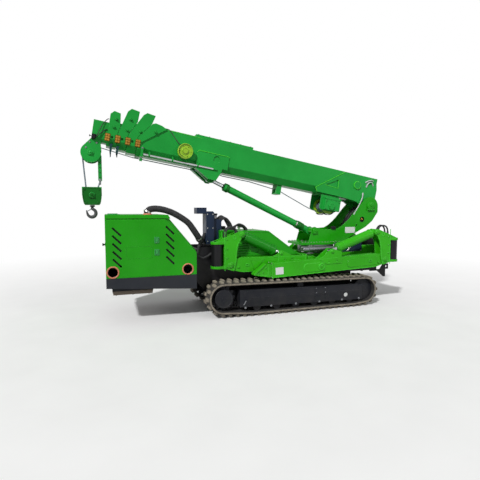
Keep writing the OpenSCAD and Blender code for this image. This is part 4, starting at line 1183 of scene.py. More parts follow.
    def belly_pan(self) -> None:
        """The bare pan bolted under the skirt's tray: a tapered section carried across the hood."""
        pan = plate([(-1398, 264), (-1054, 264), (-1046, 300.8), (-1406, 300.8)], side_view(Side.RIGHT, 0),
            -300, 300, 3)
        low = Plane((0, 0, 264), (1, 0, 0), (0, -1, 0), (0, 0, -1))
        spots = product((-1370, -1226, -1082), (-270, 270))
        add_piece("hood_belly_pan", pan + hex_bolts(low, spots, 8), PAN_TAN)

    def build(self) -> None:
        """Adds everything on the hood."""
        self.belly_pan()
        for side in Side:
            self.rims(side)
            self.latches(side)
            self.seams(side)
        self.knob()
        self.duct()


@dataclass
class TankAndValves:
    """Louvre blades and seams of the tank body, the valve tower's covers and the hoses round them."""

    half_width: float = 215
    louvre_x: tuple = (-202, -76)
    louvre_z: tuple = (575, 700)
    louvre_count: int = 5
    hose_r: float = 9

    def louvres(self, side: Side) -> None:
        """Pressed blades: over each slot a lip whose section leans out and down from its upper edge.

        Args:
            side: the machine's side.
        """
        (x0, x1), (z0, z1) = self.louvre_x, self.louvre_z
        pitch = (z1 - z0) / self.louvre_count
        x = np.array([x0 - 4, x0 + 4, x1 - 4, x1 + 4])[:, None]
        reach = np.array([0.2, 1.0, 1.0, 0.2])[:, None]
        lean = np.array([(pitch - 4, -1), (pitch - 6, 3), (14, 9), (13, 7.5), (pitch - 9, 1)])
        face = side_view(side, self.half_width)
        blades = [ring_stack(face.at(x, z0 + k * pitch + lean[:, 0], reach * lean[:, 1]))
            for k in range(self.louvre_count)]
        add_piece(f"tank_louvre_blades_{side.name.lower()}", blades, MACHINE_GREEN)

    def seams(self) -> None:
        """Folded flanges along the tank's upper edges, its filler cap, breather and cover bolts."""
        shells = []
        edge = [(-385, 826), (139, 811), (480, 566)]
        for side, (xa, za), (xb, zb) in ((side, *span) for side in Side for span in zip(edge, edge[1:])):
            rise = 7 * unit((xb - xa, zb - za))[1]
            shells.append(plate([(xa, za), (xb, zb), (xb - rise, zb - 16), (xa, za - 16)],
                side_view(side, self.half_width), -1, 2.5, 0.8))
        add_piece("tank_edge_flanges", shells, MACHINE_GREEN)
        slope = Plane((-385, 0, 827), (0.99959, 0, -0.0286), (0, 1, 0), (0.0286, 0, 0.99959))
        cap = slope.shifted(120, 90)
        u = full_turn(48)
        knurl = 30 + 1.2 * np.cos(12 * u)
        rings = [cap.at(k * np.cos(u), k * np.sin(u), h) for k, h in ((knurl * 0.9, -1), (knurl * 0.9, 10),
            (knurl, 12), (knurl, 28), (knurl * 0.92, 32), (knurl * 0.4, 33))]
        add_piece("tank_filler_cap", ring_stack(np.stack(rings)), FRAME_BLACK)
        breather = lathe([(10, -1), (10, 12), (18, 14), (20, 30), (14, 36), (6, 38)],
            slope.shifted(300, 80), 24)
        add_piece("tank_breather", breather, BOLT_ZINC)
        spots = product((20, 180, 340, 500), (-185, 185))
        add_piece("tank_cover_bolts", hex_bolts(slope, spots, 6.5), BOLT_ZINC)

    def tower(self) -> None:
        """Covers of the valve tower: rims, screws and a row of spool levers."""
        face = side_view(Side.LEFT, 212)
        rims = frame_bar(rounded(-516, 705, -444, 998, 6), face, 5, -1, 2.5)
        rims += frame_bar(rounded(-608, 994, -519, 1046, 5), face.shifted(c=-4), 4, -1, 2.5)
        add_piece("valve_tower_rims", rims, NAVY)
        screws = hex_bolts(face, product((-508, -452), (720, 850, 985)), 5)
        add_piece("valve_tower_screws", screws, BOLT_ZINC)
        lever = [(11, -2), (11, 6), (4, 9), (4, 40), (9, 44), (11, 53), (8, 61)]
        levers = [lathe(lever, top_view(932, -400, -150 + 36 * k), 16) for k in range(5)]
        add_piece("valve_tower_levers", levers, FRAME_BLACK)

    def hoses(self) -> None:
        """Hydraulic hoses: arcs from the valve blocks over the tank, and the bundle behind the hood."""
        over = []
        for k in range(4):
            y = -165 + 45 * k
            over.append(hose([(-372, y, 900), (-352, y - 4, 930 + 6 * k), (-310, y - 10, 945 + 6 * k),
                (-268, y - 14, 900), (-245, y - 16, 850), (-240, y - 16, 822)], self.hose_r))
        for k in range(3):
            y = -190 + 30 * k
            over.append(hose([(-225, y, 824), (-220, y, 850), (-185, y, 885 - 8 * k),
                (-130, y + 6, 872 - 8 * k), (-95, y + 10, 840), (-90, y + 10, 816)], self.hose_r * 0.9))
        add_piece("tank_hoses", over, HOSE_RUBBER)
        behind = []
        for k in range(5):
            y = -170 + 50 * k
            behind.append(hose([(-664, y, 600 - 30 * k), (-630, y, 625 - 30 * k),
                (-575, y + 10, 665 - 30 * k), (-535, y + 15, 740 - 20 * k), (-520, y + 20, 800 - 20 * k)],
                self.hose_r * 1.1))
        beside = ([(-591, -212, 690), (-606, -214, 640), (-618, -214, 560), (-640, -214, 500),
            (-668, -214, 480)],
            [(-470, -214, 600), (-510, -216, 575), (-560, -216, 560), (-620, -216, 590), (-668, -214, 620)])
        behind += [hose(route, self.hose_r * 1.2) for route in beside]
        add_piece("engine_hose_bundle", behind, HOSE_RUBBER)

    def build(self) -> None:
        """Adds the tank's and the valve tower's pieces."""
        for side in Side:
            self.louvres(side)
        self.seams()
        self.tower()
        self.hoses()


@dataclass
class ColumnTrim:
    """Pivot caps, bearing rims, base bolts, blank plate and hoses of the slewing column."""

    half_width: float = 150
    slew_x: float = 810
    base_top: float = 674
    ring_r: float = 200
    teeth: int = 76
    free_y: float = 130
    openings: tuple = ((1323, 918, 33), (1249, 856, 12))
    cup_gap: float = 0.4

    def pins(self) -> None:
        """Caps on the boom pivot and on the luffing cylinder's lower pin, on both sides."""
        rows = ((PIVOT, 14, 40), (joint_spot("luff_barrel_turn"), 10, 26))
        shells = [pin_cap(side_view(side, self.half_width + off, at[0], at[2]), r, 6) for side in Side
            for at, off, r in rows]
        add_piece("column_pin_caps", shells, MACHINE_GREEN, "column")

    def rims(self) -> None:
        """Rims of the round openings, black cups in them as painted shade, brass glands, and welds along
        the column's foot.
        """
        rims, beads, cups, glands = [], [], [], []
        for side in Side:
            face = side_view(side, self.half_width)
            for x, z, r in self.openings:
                at = face.shifted(x, z)
                rims.append(round_rim([(r - 1, -12), (r - 1, 2), (r + 5, 2), (r + 6, -1)], at))
                r += self.cup_gap
                # black cup closing the opening: painted shade inside it
                cups.append(lathe([(r, -30), (r, -4.5), (r - 4, -4.5), (r - 5, -22), (2, -23)], at, 32))
            beads.append(bead(face.at(np.linspace(648, 1075, 40), self.base_top + 2, 1), 4.5))
            glands.append(lathe([(11, -24), (11, -14), (8, -12), (7, -5)], face.shifted(1331, 922), 6))
        add_piece("column_opening_rims", rims, MACHINE_GREEN, "column")
        add_piece("column_foot_welds", beads, MACHINE_GREEN, "column")
        add_piece("column_opening_cups", cups, FRAME_BLACK, "column")
        add_piece("column_opening_glands", glands, SCREW_GOLD, "column")

    def base(self) -> None:
        """Bolts round the base plate and the ring gear under it: r = R + a clip(2 cos n u)."""
        spots = disc(self.slew_x, 0, 155, 20)
        spots = spots[np.abs(spots[:, 1]) < self.free_y]
        level = top_view(self.base_top)
        add_piece("column_base_bolts", hex_bolts(level, spots, 9), BOLT_ZINC, "column")
        edge = product(560 + 35 * np.arange(15), (-160, 160))
        add_piece("column_edge_bolts", hex_bolts(level, edge, 6.5), BOLT_ZINC, "column")
        u = full_turn(self.teeth * 8)
        r = self.ring_r - 6 + 5.5 * np.clip(2.2 * np.cos(self.teeth * u), -1, 1)
        ring = top_view(0, self.slew_x)
        rings = [ring.at(r * k * np.cos(u), r * k * np.sin(u), z) for k,
            z in ((0.985, 560.5), (1, 564), (1, 598), (0.985, 601.2))]
        add_piece("slewing_ring_gear", ring_stack(np.stack(rings)), STEEL_GREY)

    def plates(self) -> None:
        """The blank name plate, the little block beside it and the dark hoses at the pivot."""
        face = side_view(Side.LEFT, self.half_width)
        blank = plate(rounded(1100, 768, 1230, 836, 4), face, 0, 1.5, 0.5)
        add_piece("column_blank_plate", blank, BLANK_WHITE, "column")
        rivets = product((1107, 1223), (775, 829))
        add_piece("column_plate_rivets", hex_bolts(face.shifted(c=1.5), rivets, 2.5), BOLT_ZINC, "column")
        block = plate(rounded(922, 812, 974, 846, 4), face.shifted(c=-12), 0, 24)
        block += hex_bolts(face.shifted(c=12), [(932, 829), (964, 829)], 6)
        add_piece("column_junction_block", block, FRAME_BLACK, "column")
        dark = [hose([(1150, y, 760), (1180, y, 840), (1225, y, 930), (1290, y, 1010),
            (1345, y * 0.8, 1060)], 10) for y in (-70, -20, 30)]
        add_piece("column_inner_hoses", dark, HOSE_RUBBER, "column")

    def build(self) -> None:
        """Adds everything on the column."""
        self.pins()
        self.rims()
        self.base()
        self.plates()


@dataclass
class SlewDriveTrim:
    """Motor flange, bolts and ports of the slewing drive beside the ring."""

    y: float = 234.3
    z: float = 609
    big_r: float = 34

    def build(self) -> None:
        """Turns the flanges along the drive's axis and adds their bolts and two hose ports."""
        axis = Plane((0, -self.y, self.z), (0, 1, 0), (0, 0, 1), (1, 0, 0))
        big, small = self.big_r, self.big_r - 8
        rows = ((530, big, 10), (585, big, 8), (648, big, 12), (700, small, 8), (790, small, 10),
            (880, small, 8), (925, small, 12))
        shells = [round_rim([(r - 1, 0), (r + 3, 1), (r + 3, w - 1), (r - 1, w)], axis.shifted(c=x), 36)
            for x, r, w in rows]
        add_piece("slewing_drive_flanges", shells, STEEL_GREY)
        front = Plane((517, -self.y, self.z), (0, 1, 0), (0, 0, 1), (-1, 0, 0))
        add_piece("slewing_drive_bolts", hex_bolts(front, disc(0, 0, big - 10, 6), 5), BOLT_ZINC)
        ports = [lathe([(9, 0), (9, 6), (7, 7), (7, 14), (4, 15)], top_view(self.z + big - 2, x, -self.y),
            6) for x in (604, 628)]
        add_piece("slewing_drive_ports", ports, BOLT_ZINC)


@dataclass
class LuffCylinderTrim:
    """Gland nut, rod wiper, rings, clamp and eyes of the luffing cylinder."""

    barrel_r: float = 36
    gland_back: float = 182
    length: float = 1271.4

    def __post_init__(self) -> None:
        """Finds the cylinder's line from its joints: from the lower pin along the rod's slide."""
        self.base = joint_spot("luff_barrel_turn")
        self.axis = np.array(JOINTS["luff_rod_slide"]["axis"])

    def across(self, at: float) -> Plane:
        """A plane square to the cylinder at that distance from the lower pin.

        Args:
            at: distance from the lower pin.

        Returns:
            The plane.
        """
        up = (-self.axis[2], 0, self.axis[0])
        sign = 1 if up[2] > 0 else -1
        return Plane(tuple(self.base + self.axis * at), (0, 1, 0), tuple(sign * k for k in up),
            tuple(self.axis))

    def build(self) -> None:
        """Adds the cylinder's fine pieces to its barrel and rod."""
        gland = self.length - self.gland_back
        r = self.barrel_r
        nut = round_rim([(20.2, -16), (r + 3, -16), (r + 7, -12), (r + 7, 14), (r + 2, 18), (28, 18),
            (26, 24), (20.2, 24)], self.across(gland - 10), 44)
        add_piece("luff_gland_nut", nut, BOOM_GREEN, "luff_barrel")
        wiper = round_rim([(20.1, 0), (25, 0), (24, 6), (20.1, 8)], self.across(gland + 14))
        add_piece("luff_rod_wiper", wiper, FRAME_BLACK, "luff_barrel")
        rings = [round_rim([(r, -w), (r + p, 2 - w), (r + p, w - 2), (r, w)], self.across(k), 44) for k, w,
            p in ((100, 16, 6), (140, 22, 8.5), (gland - 30, 16, 8.5))]
        add_piece("luff_barrel_rings", rings, BLOCK_GREEN, "luff_barrel")
        clamp = self.across(176)
        band = round_rim([(r, -7), (r + 4, -7), (r + 4, 7), (r, 7)], clamp, 40)
        band += hex_bolts(clamp.turned(r + 2), [(0, 0)], 6)
        add_piece("luff_barrel_clamp", band, BOLT_ZINC, "luff_barrel")
        eye = side_view(Side.LEFT, 35, self.base[0], self.base[2])
        add_piece("luff_base_eye_weld", round_rim([(36, -1), (40, 2), (44, -1)], eye, 40), BOOM_GREEN,
            "luff_barrel")
        top = self.base + self.axis * self.length
        rims = [round_rim([(19, -1), (19, 2), (30, 2), (33, -1)], side_view(side, 28, top[0], top[2]), 36)
            for side in Side]
        add_piece("luff_rod_eye_rims", rims, STEEL_GREY, "luff_rod")


_skins: dict = {}


def skin(node: str) -> BVHTree:
    """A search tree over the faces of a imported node, made only once.

    Args:
        node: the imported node's name.

    Returns:
        The search tree, in millimetres.
    """
    if node not in _skins:
        obj = frame["nodes"][node]
        points = [MM * (obj.matrix_world @ v.co) for v in obj.data.vertices]
        _skins[node] = BVHTree.FromPolygons(points, [tuple(f.vertices) for f in obj.data.polygons])
    return _skins[node]


def seated(node: str, plane: Plane, a: float, b: float, reach: float = 300) -> Plane:
    """The plane with its origin moved to coordinates a and b and on to the node's surface.

    A ray starts at distance reach off the plane and goes back against its out direction.

    Args:
        node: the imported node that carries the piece.
        plane: gives the three directions.
        a: distance along the plane.
        b: distance up the plane.
        reach: where the ray starts off the plane.

    Returns:
        The plane on the surface, or where it was if the ray meets nothing.
    """
    start = Vector(plane.at(a, b, reach))
    hit = skin(node).ray_cast(start, -Vector(plane.out))[0]
    if hit is None:
        LOG.warning("%s isn't under (%.3f, %.3f)", node, a, b)
        return plane.shifted(a, b)
    return Plane(tuple(hit), plane.along, plane.up, plane.out)


def stranded(route: Array, r: float, pitch: float = 30) -> Shell:
    """A wire rope: a tube of radius r (1 + 0.10 cos(6 u - 2 pi s / pitch)) with u round it and s along it.

    Args:
        route: points of the centre line.
        r: the rope's radius.
        pitch: length along the rope from one strand to the next.

    Returns:
        The rope.
    """
    route = np.asarray(route, float)
    length = length_of(route)
    route = even_steps(route, max(12, int(length / 5)))
    t = unit(np.gradient(route, axis=0))
    n = unit(np.cross(t, (0, 1, 0)))
    b = np.cross(t, n)
    s = np.linspace(0, length, len(route))[:, None]
    u = full_turn(15)[None, :]
    lobes = (r * (1 + 0.1 * np.cos(6 * u - 2 * np.pi * s / pitch)))[..., None]
    u = u[..., None]
    return ring_stack(route[:, None, :] + lobes * (np.cos(u) * n[:, None, :] + np.sin(u) * b[:, None, :]))


def coil(plane: Plane, radius: float, rope_r: float, wide: float, turns: int) -> Shell:
    """Rope wound on a drum: p(u) = radius (cos u, sin u), moved along the drum by wide * u / 2 pi turns.

    Args:
        plane: its origin is the winding's middle and its out direction the drum's axis.
        radius: radius of the rope's centre line.
        rope_r: the rope's radius.
        wide: width of the winding.
        turns: how often it goes round.

    Returns:
        The wound rope.
    """
    u = np.linspace(0, 2 * np.pi * turns, turns * 30)
    v = full_turn(8)
    r = radius + rope_r * np.cos(v)[None, :]
    along = (wide * (u / u[-1] - 0.5))[:, None] + rope_r * np.sin(v)[None, :]
    return ring_stack(plane.at(r * np.cos(u)[:, None], r * np.sin(u)[:, None], along))


# Boom


@dataclass
class BoomTrim:
    """What is fixed to the boom's sections: pins, pad adjusters, claws, sleeve, cables and bolts."""

    fronts: tuple = (2640, 2730, 2820, 2910)
    collar_w: tuple = (132, 126, 120, 114)
    pipe_y: float = 136
    pipe_h: float = 46
    rod_s: float = 1888
    nodes: tuple = ("boom_base", "boom_2", "boom_3", "boom_4")
    studs: tuple = (((2494, 272),), ((2628, 245),), ((2729, 335), (2746, 232)), ((2853, 309), (2864, 235)))

    def ears(self) -> None:
        """Stub pins with a hexagon nut on the collars' side plates."""
        for node, spots in zip(self.nodes, self.studs):
            shells = []
            for side, (s, h) in product(Side, spots):
                at = seated(node, boom_side(side, 50), s, h)
                shells.append(lathe([(13, -1), (13, 3), (9.5, 4), (9.5, 16), (7.5, 18)], at, 20))
                shells.append(lathe([(12.5, 3), (13.5, 5), (13.5, 10), (11.5, 12)], at, 6))
            add_piece(f"{node}_ear_studs", shells, BOOM_GREEN, node)

    def adjusters(self) -> None:
        """Pad adjusters on each collar: a stepped bronze plate with two rows of three screws."""
        for node, front, w in zip(self.nodes, self.fronts, self.collar_w):
            plates, screws = [], []
            for side in Side:
                at = boom_side(side, w, front - 4, 134)
                plates.append(plate(rounded(-22, -35, 24, 35, 6), at, 0.2, 5))
                plates.append(plate(rounded(-17, -31, 19, 31, 5), at, 4, 8))
                screws.append(hex_bolts(at.shifted(c=8), product((-9, 11), (-22, 0, 22)), 7))
            add_piece(f"{node}_pad_adjusters", plates, ROLLER_BRASS, node)
            add_piece(f"{node}_adjuster_screws", screws, SCREW_GOLD, node)

    def claws(self) -> None:
        """Rope keepers under two of the collars and the notched foot of the hanging bracket."""
        for node, s, top, tip, w in (("boom_4", 2866, 85, -15, 100), ("boom_3", 2806, 75, -4, 106)):
            claw = [(s - 14, top), (s + 14, top), (s + 9, top - 45), (s - 4, tip), (s - 10, tip + 4),
                (s - 8, top - 40)]
            shells = [plate(claw, boom_side(side, w), -6, 4) for side in Side]
            add_piece(f"{node}_rope_keepers", shells, CLAW_TEAL, node)
        face = boom_side(Side.LEFT, 146.5)
        foot = plate([(2578, 116), (2604, 116), (2604, -18), (2598, -28), (2594, -20), (2588, -20),
            (2584, -28), (2578, -18)], face, -1, 4)
        add_piece("boom_hanging_bracket_face", foot, BOOM_GREEN, "boom_base")
        bolts = hex_bolts(face.shifted(c=4), [(2591, 10), (2591, 100)], 6)
        add_piece("boom_hanging_bracket_bolts", bolts, STEEL_GREY, "boom_base")

    def pipe(self) -> None:
        """The bright sleeve over the pipe along the boom's side with its clips."""
        ends = on_boom([(self.rod_s + 5, -self.pipe_y, self.pipe_h), (2574, -self.pipe_y, self.pipe_h)])
        add_piece("boom_side_sleeve", tube(even_steps(ends, 24), 10, 20), ROD_CHROME, "boom_base")
        clips = []
        for s in (2050, 2300, 2520):
            at = boom_side(Side.LEFT, self.pipe_y, s, self.pipe_h)
            clips.append(round_rim([(9.8, -8), (12.5, -8), (12.5, 8), (9.8, 8)], at.turned(), 24))
            clips.append(plate(rounded(s - 8, self.pipe_h + 10, s + 8, self.pipe_h + 34, 3),
                boom_side(Side.LEFT, 119), 0, 18))
        add_piece("boom_sleeve_clips", clips, BOOM_GREEN, "boom_base")

    def beads(self) -> None:
        """Weld beads round the gusset, its window, the rod lugs and the seam; lid bolts, rod pin caps."""
        shells = []
        rows = ((130, 4.5, [(386, 318), (728, 86), (700, 42)]), (128.5, 4,
            [(1742, 190), (1756, 197), (2060, 197), (2070, 180)]),
            (129.5, 4, [(452, 222), (447, 122), (612, 134)]), (119.5, 3, [(2050, 318), (2380, 318)]))
        for side in Side:
            shells += [bead(boom_side(side, y).at(*np.array(line).T, 0), size) for y, size, line in rows]
            rim = boom_side(side, 142 if side is Side.LEFT else 130, 207, 204)
            shells.append(round_rim([(39, -12), (39, 2), (44, 1), (46, -12)], rim, 40))
        # the beads and window rims take the lighter green of a painted highlight
        add_piece("boom_weld_beads", shells, BEAD_HIGHLIGHT_GREEN, "boom_base")
        bolts = hex_bolts(boom_top(355), product(np.linspace(1520, 2076, 6), (-78, 78)), 7)
        add_piece("boom_cover_bolts", bolts, BOLT_ZINC, "boom_base")
        caps = [pin_cap(boom_side(side, 84 if side is Side.LEFT else 70, self.rod_s, -44), 21, 5)
            for side in Side]
        add_piece("boom_rod_pin_caps", caps, BOOM_GREEN, "boom_base")

    def switch(self) -> None:
        """The limit switch at the boom's tip with its roller arm and two cables to the last collar."""
        at = seated("boom_5", boom_side(Side.LEFT, 0), 3020, 120)
        box = plate(rounded(-14, -22, 20, 22, 3), at, -1, 26)
        box += plate(rounded(-10, -18, 16, 18, 3), at, 26, 31)
        arm = at.turned(14, 0, 16)
        box += lathe([(8, 0), (8, 8), (3, 9), (3, 20), (9, 21), (9, 27), (3, 28)], arm, 18)
        add_piece("tip_limit_switch", box, FRAME_BLACK, "boom_5")
        cables = []
        for top in (30, 4):
            rows = [(-12, -4, 14), (-30, 10 + top, 20), (-60, 40 + 3 * top, 12), (-88, 70 + 3.6 * top, 6),
                (-104, 72 + 3.8 * top, 5)]
            cables.append(tube(smooth_route([tuple(at.at(a, b, c)) for a, b, c in rows], 8), 3.6, 8))
        add_piece("tip_switch_cables", cables, HOSE_RUBBER, "boom_5")

    def head(self) -> None:
        """Rims of the sheave, its pin's caps, keeper bolts and a rope guard between the head plates."""
        s, h = 3030, -26
        caps = [pin_cap(boom_side(side, 76, s, h), 15.5, 3) for side in Side]
        caps += [round_rim([(17, -1), (17, 4), (30, 4), (33, -1)], boom_side(side, 64, s, h), 36)
            for side in Side]
        add_piece("head_pin_caps", caps, BOOM_GREEN, "boom_5")
        bolts = [hex_bolts(boom_side(side, 64), [(2992, 70), (3052, 66), (3076, 10)], 6.5) for side in Side]
        guard = Plane(tuple(boom_side(Side.LEFT, 54).at(s - 13.6, h + 92, 0)), FORWARD, SQUARE, (0, 1, 0))
        bolts.append(lathe([(6, 0), (6.5, 1), (6.5, 107), (6, 108)], guard, 14))
        add_piece("head_bolts", bolts, STEEL_GREY, "boom_5")

    def build(self) -> None:
        """Adds everything on the boom's sections."""
        self.ears()
        self.adjusters()
        self.claws()
        self.pipe()
        self.beads()
        self.switch()
        self.head()


@dataclass
class CableReel:
    """The spring cable reel on the boom's side: rims, windings, spokes' rivets, cable."""

    s: float = 2197
    h: float = 152
    r: float = 70
    cord_r: float = 3.4

    def build(self) -> None:
        """Adds the reel's pieces."""
        outer = boom_side(Side.LEFT, 174, self.s, self.h)
        low, high = self.r - 4, self.r + 2
        rims = [round_rim([(low, c - 3), (high, c - 2), (high, c + 3), (low, c + 4)], outer, 44)
            for c in (-22, 8, 0)]
        rims.append(round_rim([(28, -1), (28, 6), (34, 5), (36, -1)], outer, 36))
        add_piece("cable_reel_rims", rims, REEL_LIME, "boom_base")
        inside = outer.shifted(c=-8)
        turns = coil(inside, 59, self.cord_r, 13, 3) + coil(inside, 64, self.cord_r, 8, 2)
        add_piece("cable_reel_windings", turns, HOSE_RUBBER, "boom_base")
        bolts = hex_bolts(outer.shifted(c=0.5), disc(0, 0, 50, 6), 4.2)
        add_piece("cable_reel_bolts", bolts, REEL_LIME, "boom_base")
        tag = plate(rounded(-16, -13, 16, 13, 4), outer, -2, 1.5, 0.4)
        add_piece("cable_reel_blank_plate", tag, BLANK_WHITE, "boom_base")
        rows = np.array([(20, -166, 60), (62, -164, 56), (110, -150, 100), (150, -132, 150),
            (180, -112, 177.5), (230, -104, 177)]) + [self.s, 0, self.h]
        add_piece("cable_reel_cable", tube(smooth_route(on_boom(rows)), 3.6, 10), HOSE_RUBBER, "boom_base")


@dataclass
class WinchAndRope:
    """Windings, flange rims, guard and bolts of the winch, and the hoist rope along the boom."""

    s: float = 507
    h: float = -92
    sheave: tuple = (3030, -26)
    wrap: float = 75.5
    rope_r: float = 4.5
    eye_s: float = 1868
    hump: float = 11
    spread: float = 90
    nested: tuple = (0.97, 0.93, 0.89, 0.85)

    def drum(self) -> None:
        """Two layers of rope on the drum and rolled rims on its flanges."""
        axis = boom_side(Side.LEFT, 0, self.s, self.h)
        turns = coil(axis, 56, self.rope_r, 164, 17) + coil(axis.shifted(c=40), 64, self.rope_r, 80, 8)
        add_piece("winch_rope_windings", turns, ROPE_STEEL, "boom_base")
        rims = [round_rim([(78, -2), (83.5, -1), (83.5, 9), (78, 10)], boom_side(side, 87, self.s, self.h),
            48) for side in Side]
        add_piece("winch_flange_rims", rims, REEL_LIME, "boom_base")

    def housing(self) -> None:
        """The guards round the drum's ends, the motor plate's lip and the bolts."""
        u = np.radians(np.linspace(70, 292, 40))[:, None]
        r, c = np.array([(88.5, -100), (94.5, -100), (94.5, -62), (88.5, -62)]).T
        middle = boom_side(Side.LEFT, 0, self.s, self.h)
        shells = [ring_stack(middle.at(r * np.cos(u), r * np.sin(u), flip * c)) for flip in (1, -1)]
        add_piece("winch_drum_guards", shells, FRAME_BLACK, "boom_base")
        face = boom_side(Side.LEFT, 158)
        lip = plate(rounded(self.s - 112, -18, self.s + 92, 6, 3), face, -30, 4)
        lip += frame_bar(rounded(self.s - 104, self.h - 42, self.s + 84, -20, 6), face, 6, -1, 2)
        add_piece("winch_motor_lip", lip, BOOM_GREEN, "boom_base")
        bolts = hex_bolts(face.shifted(self.s, self.h), product((-90, 70), (-30, 56)), 7)
        bolts += hex_bolts(boom_side(Side.LEFT, 170, self.s, self.h), disc(0, 0, 26, 6), 4.5)
        add_piece("winch_bolts", bolts, BOOM_GREEN, "boom_base")

    def rope(self) -> None:
        """The hoist rope: drum, guide block, along the boom's underside and over the tip sheave.

        Each sliding section carries its own length, a little thinner than the one before, so that
        they lie inside one another when the boom is in and the rope stays whole when it is out.
        They rise over the luffing rod's eye by hump * exp(-((s - eye_s) / spread)^4), since it comes
        nearest there at the lowest luff. The last one goes round the sheave: c + wrap (cos u, sin u).
        """
        drop = [(self.s, -152.5), (self.s + 100, -157), (self.s + 200, -140), (870, -90), (1010, -46),
            (1090, -19), (1123, -16), (1160, -12.5), (1300, 0), (1450, 13)]
        s = np.linspace(1460, 2662, 61)
        rise = self.hump * np.exp(-((s - self.eye_s) / self.spread) ** 4)
        straight = np.stack([s, 0 * s, drop[-1][1] + rise], 1)
        base = np.vstack([smooth_route([(s, 0, h) for s, h in drop]), straight])
        inner = np.vstack([[(1156, 0, -12.5), (1300, 0, 0), (1450, 0, 13)], straight])
        u = np.linspace(math.radians(97.1), -math.asin(FORWARD[2]), 24)
        (s0, h0), w = self.sheave, self.wrap
        last = np.vstack([inner, np.stack([s0 + w * np.cos(u), 0 * u, h0 + w * np.sin(u)], 1)])
        add_piece("hoist_rope_base", stranded(on_boom(base), self.rope_r), ROPE_STEEL, "boom_base")
        for k, (route, share) in enumerate(zip((inner, inner, inner, last), self.nested)):
            rope = stranded(on_boom(route), self.rope_r * share)
            add_piece(f"hoist_rope_boom_{k + 2}", rope, ROPE_STEEL, f"boom_{k + 2}")

    def build(self) -> None:
        """Adds the winch's pieces and the rope."""
        self.drum()
        self.housing()
        self.rope()


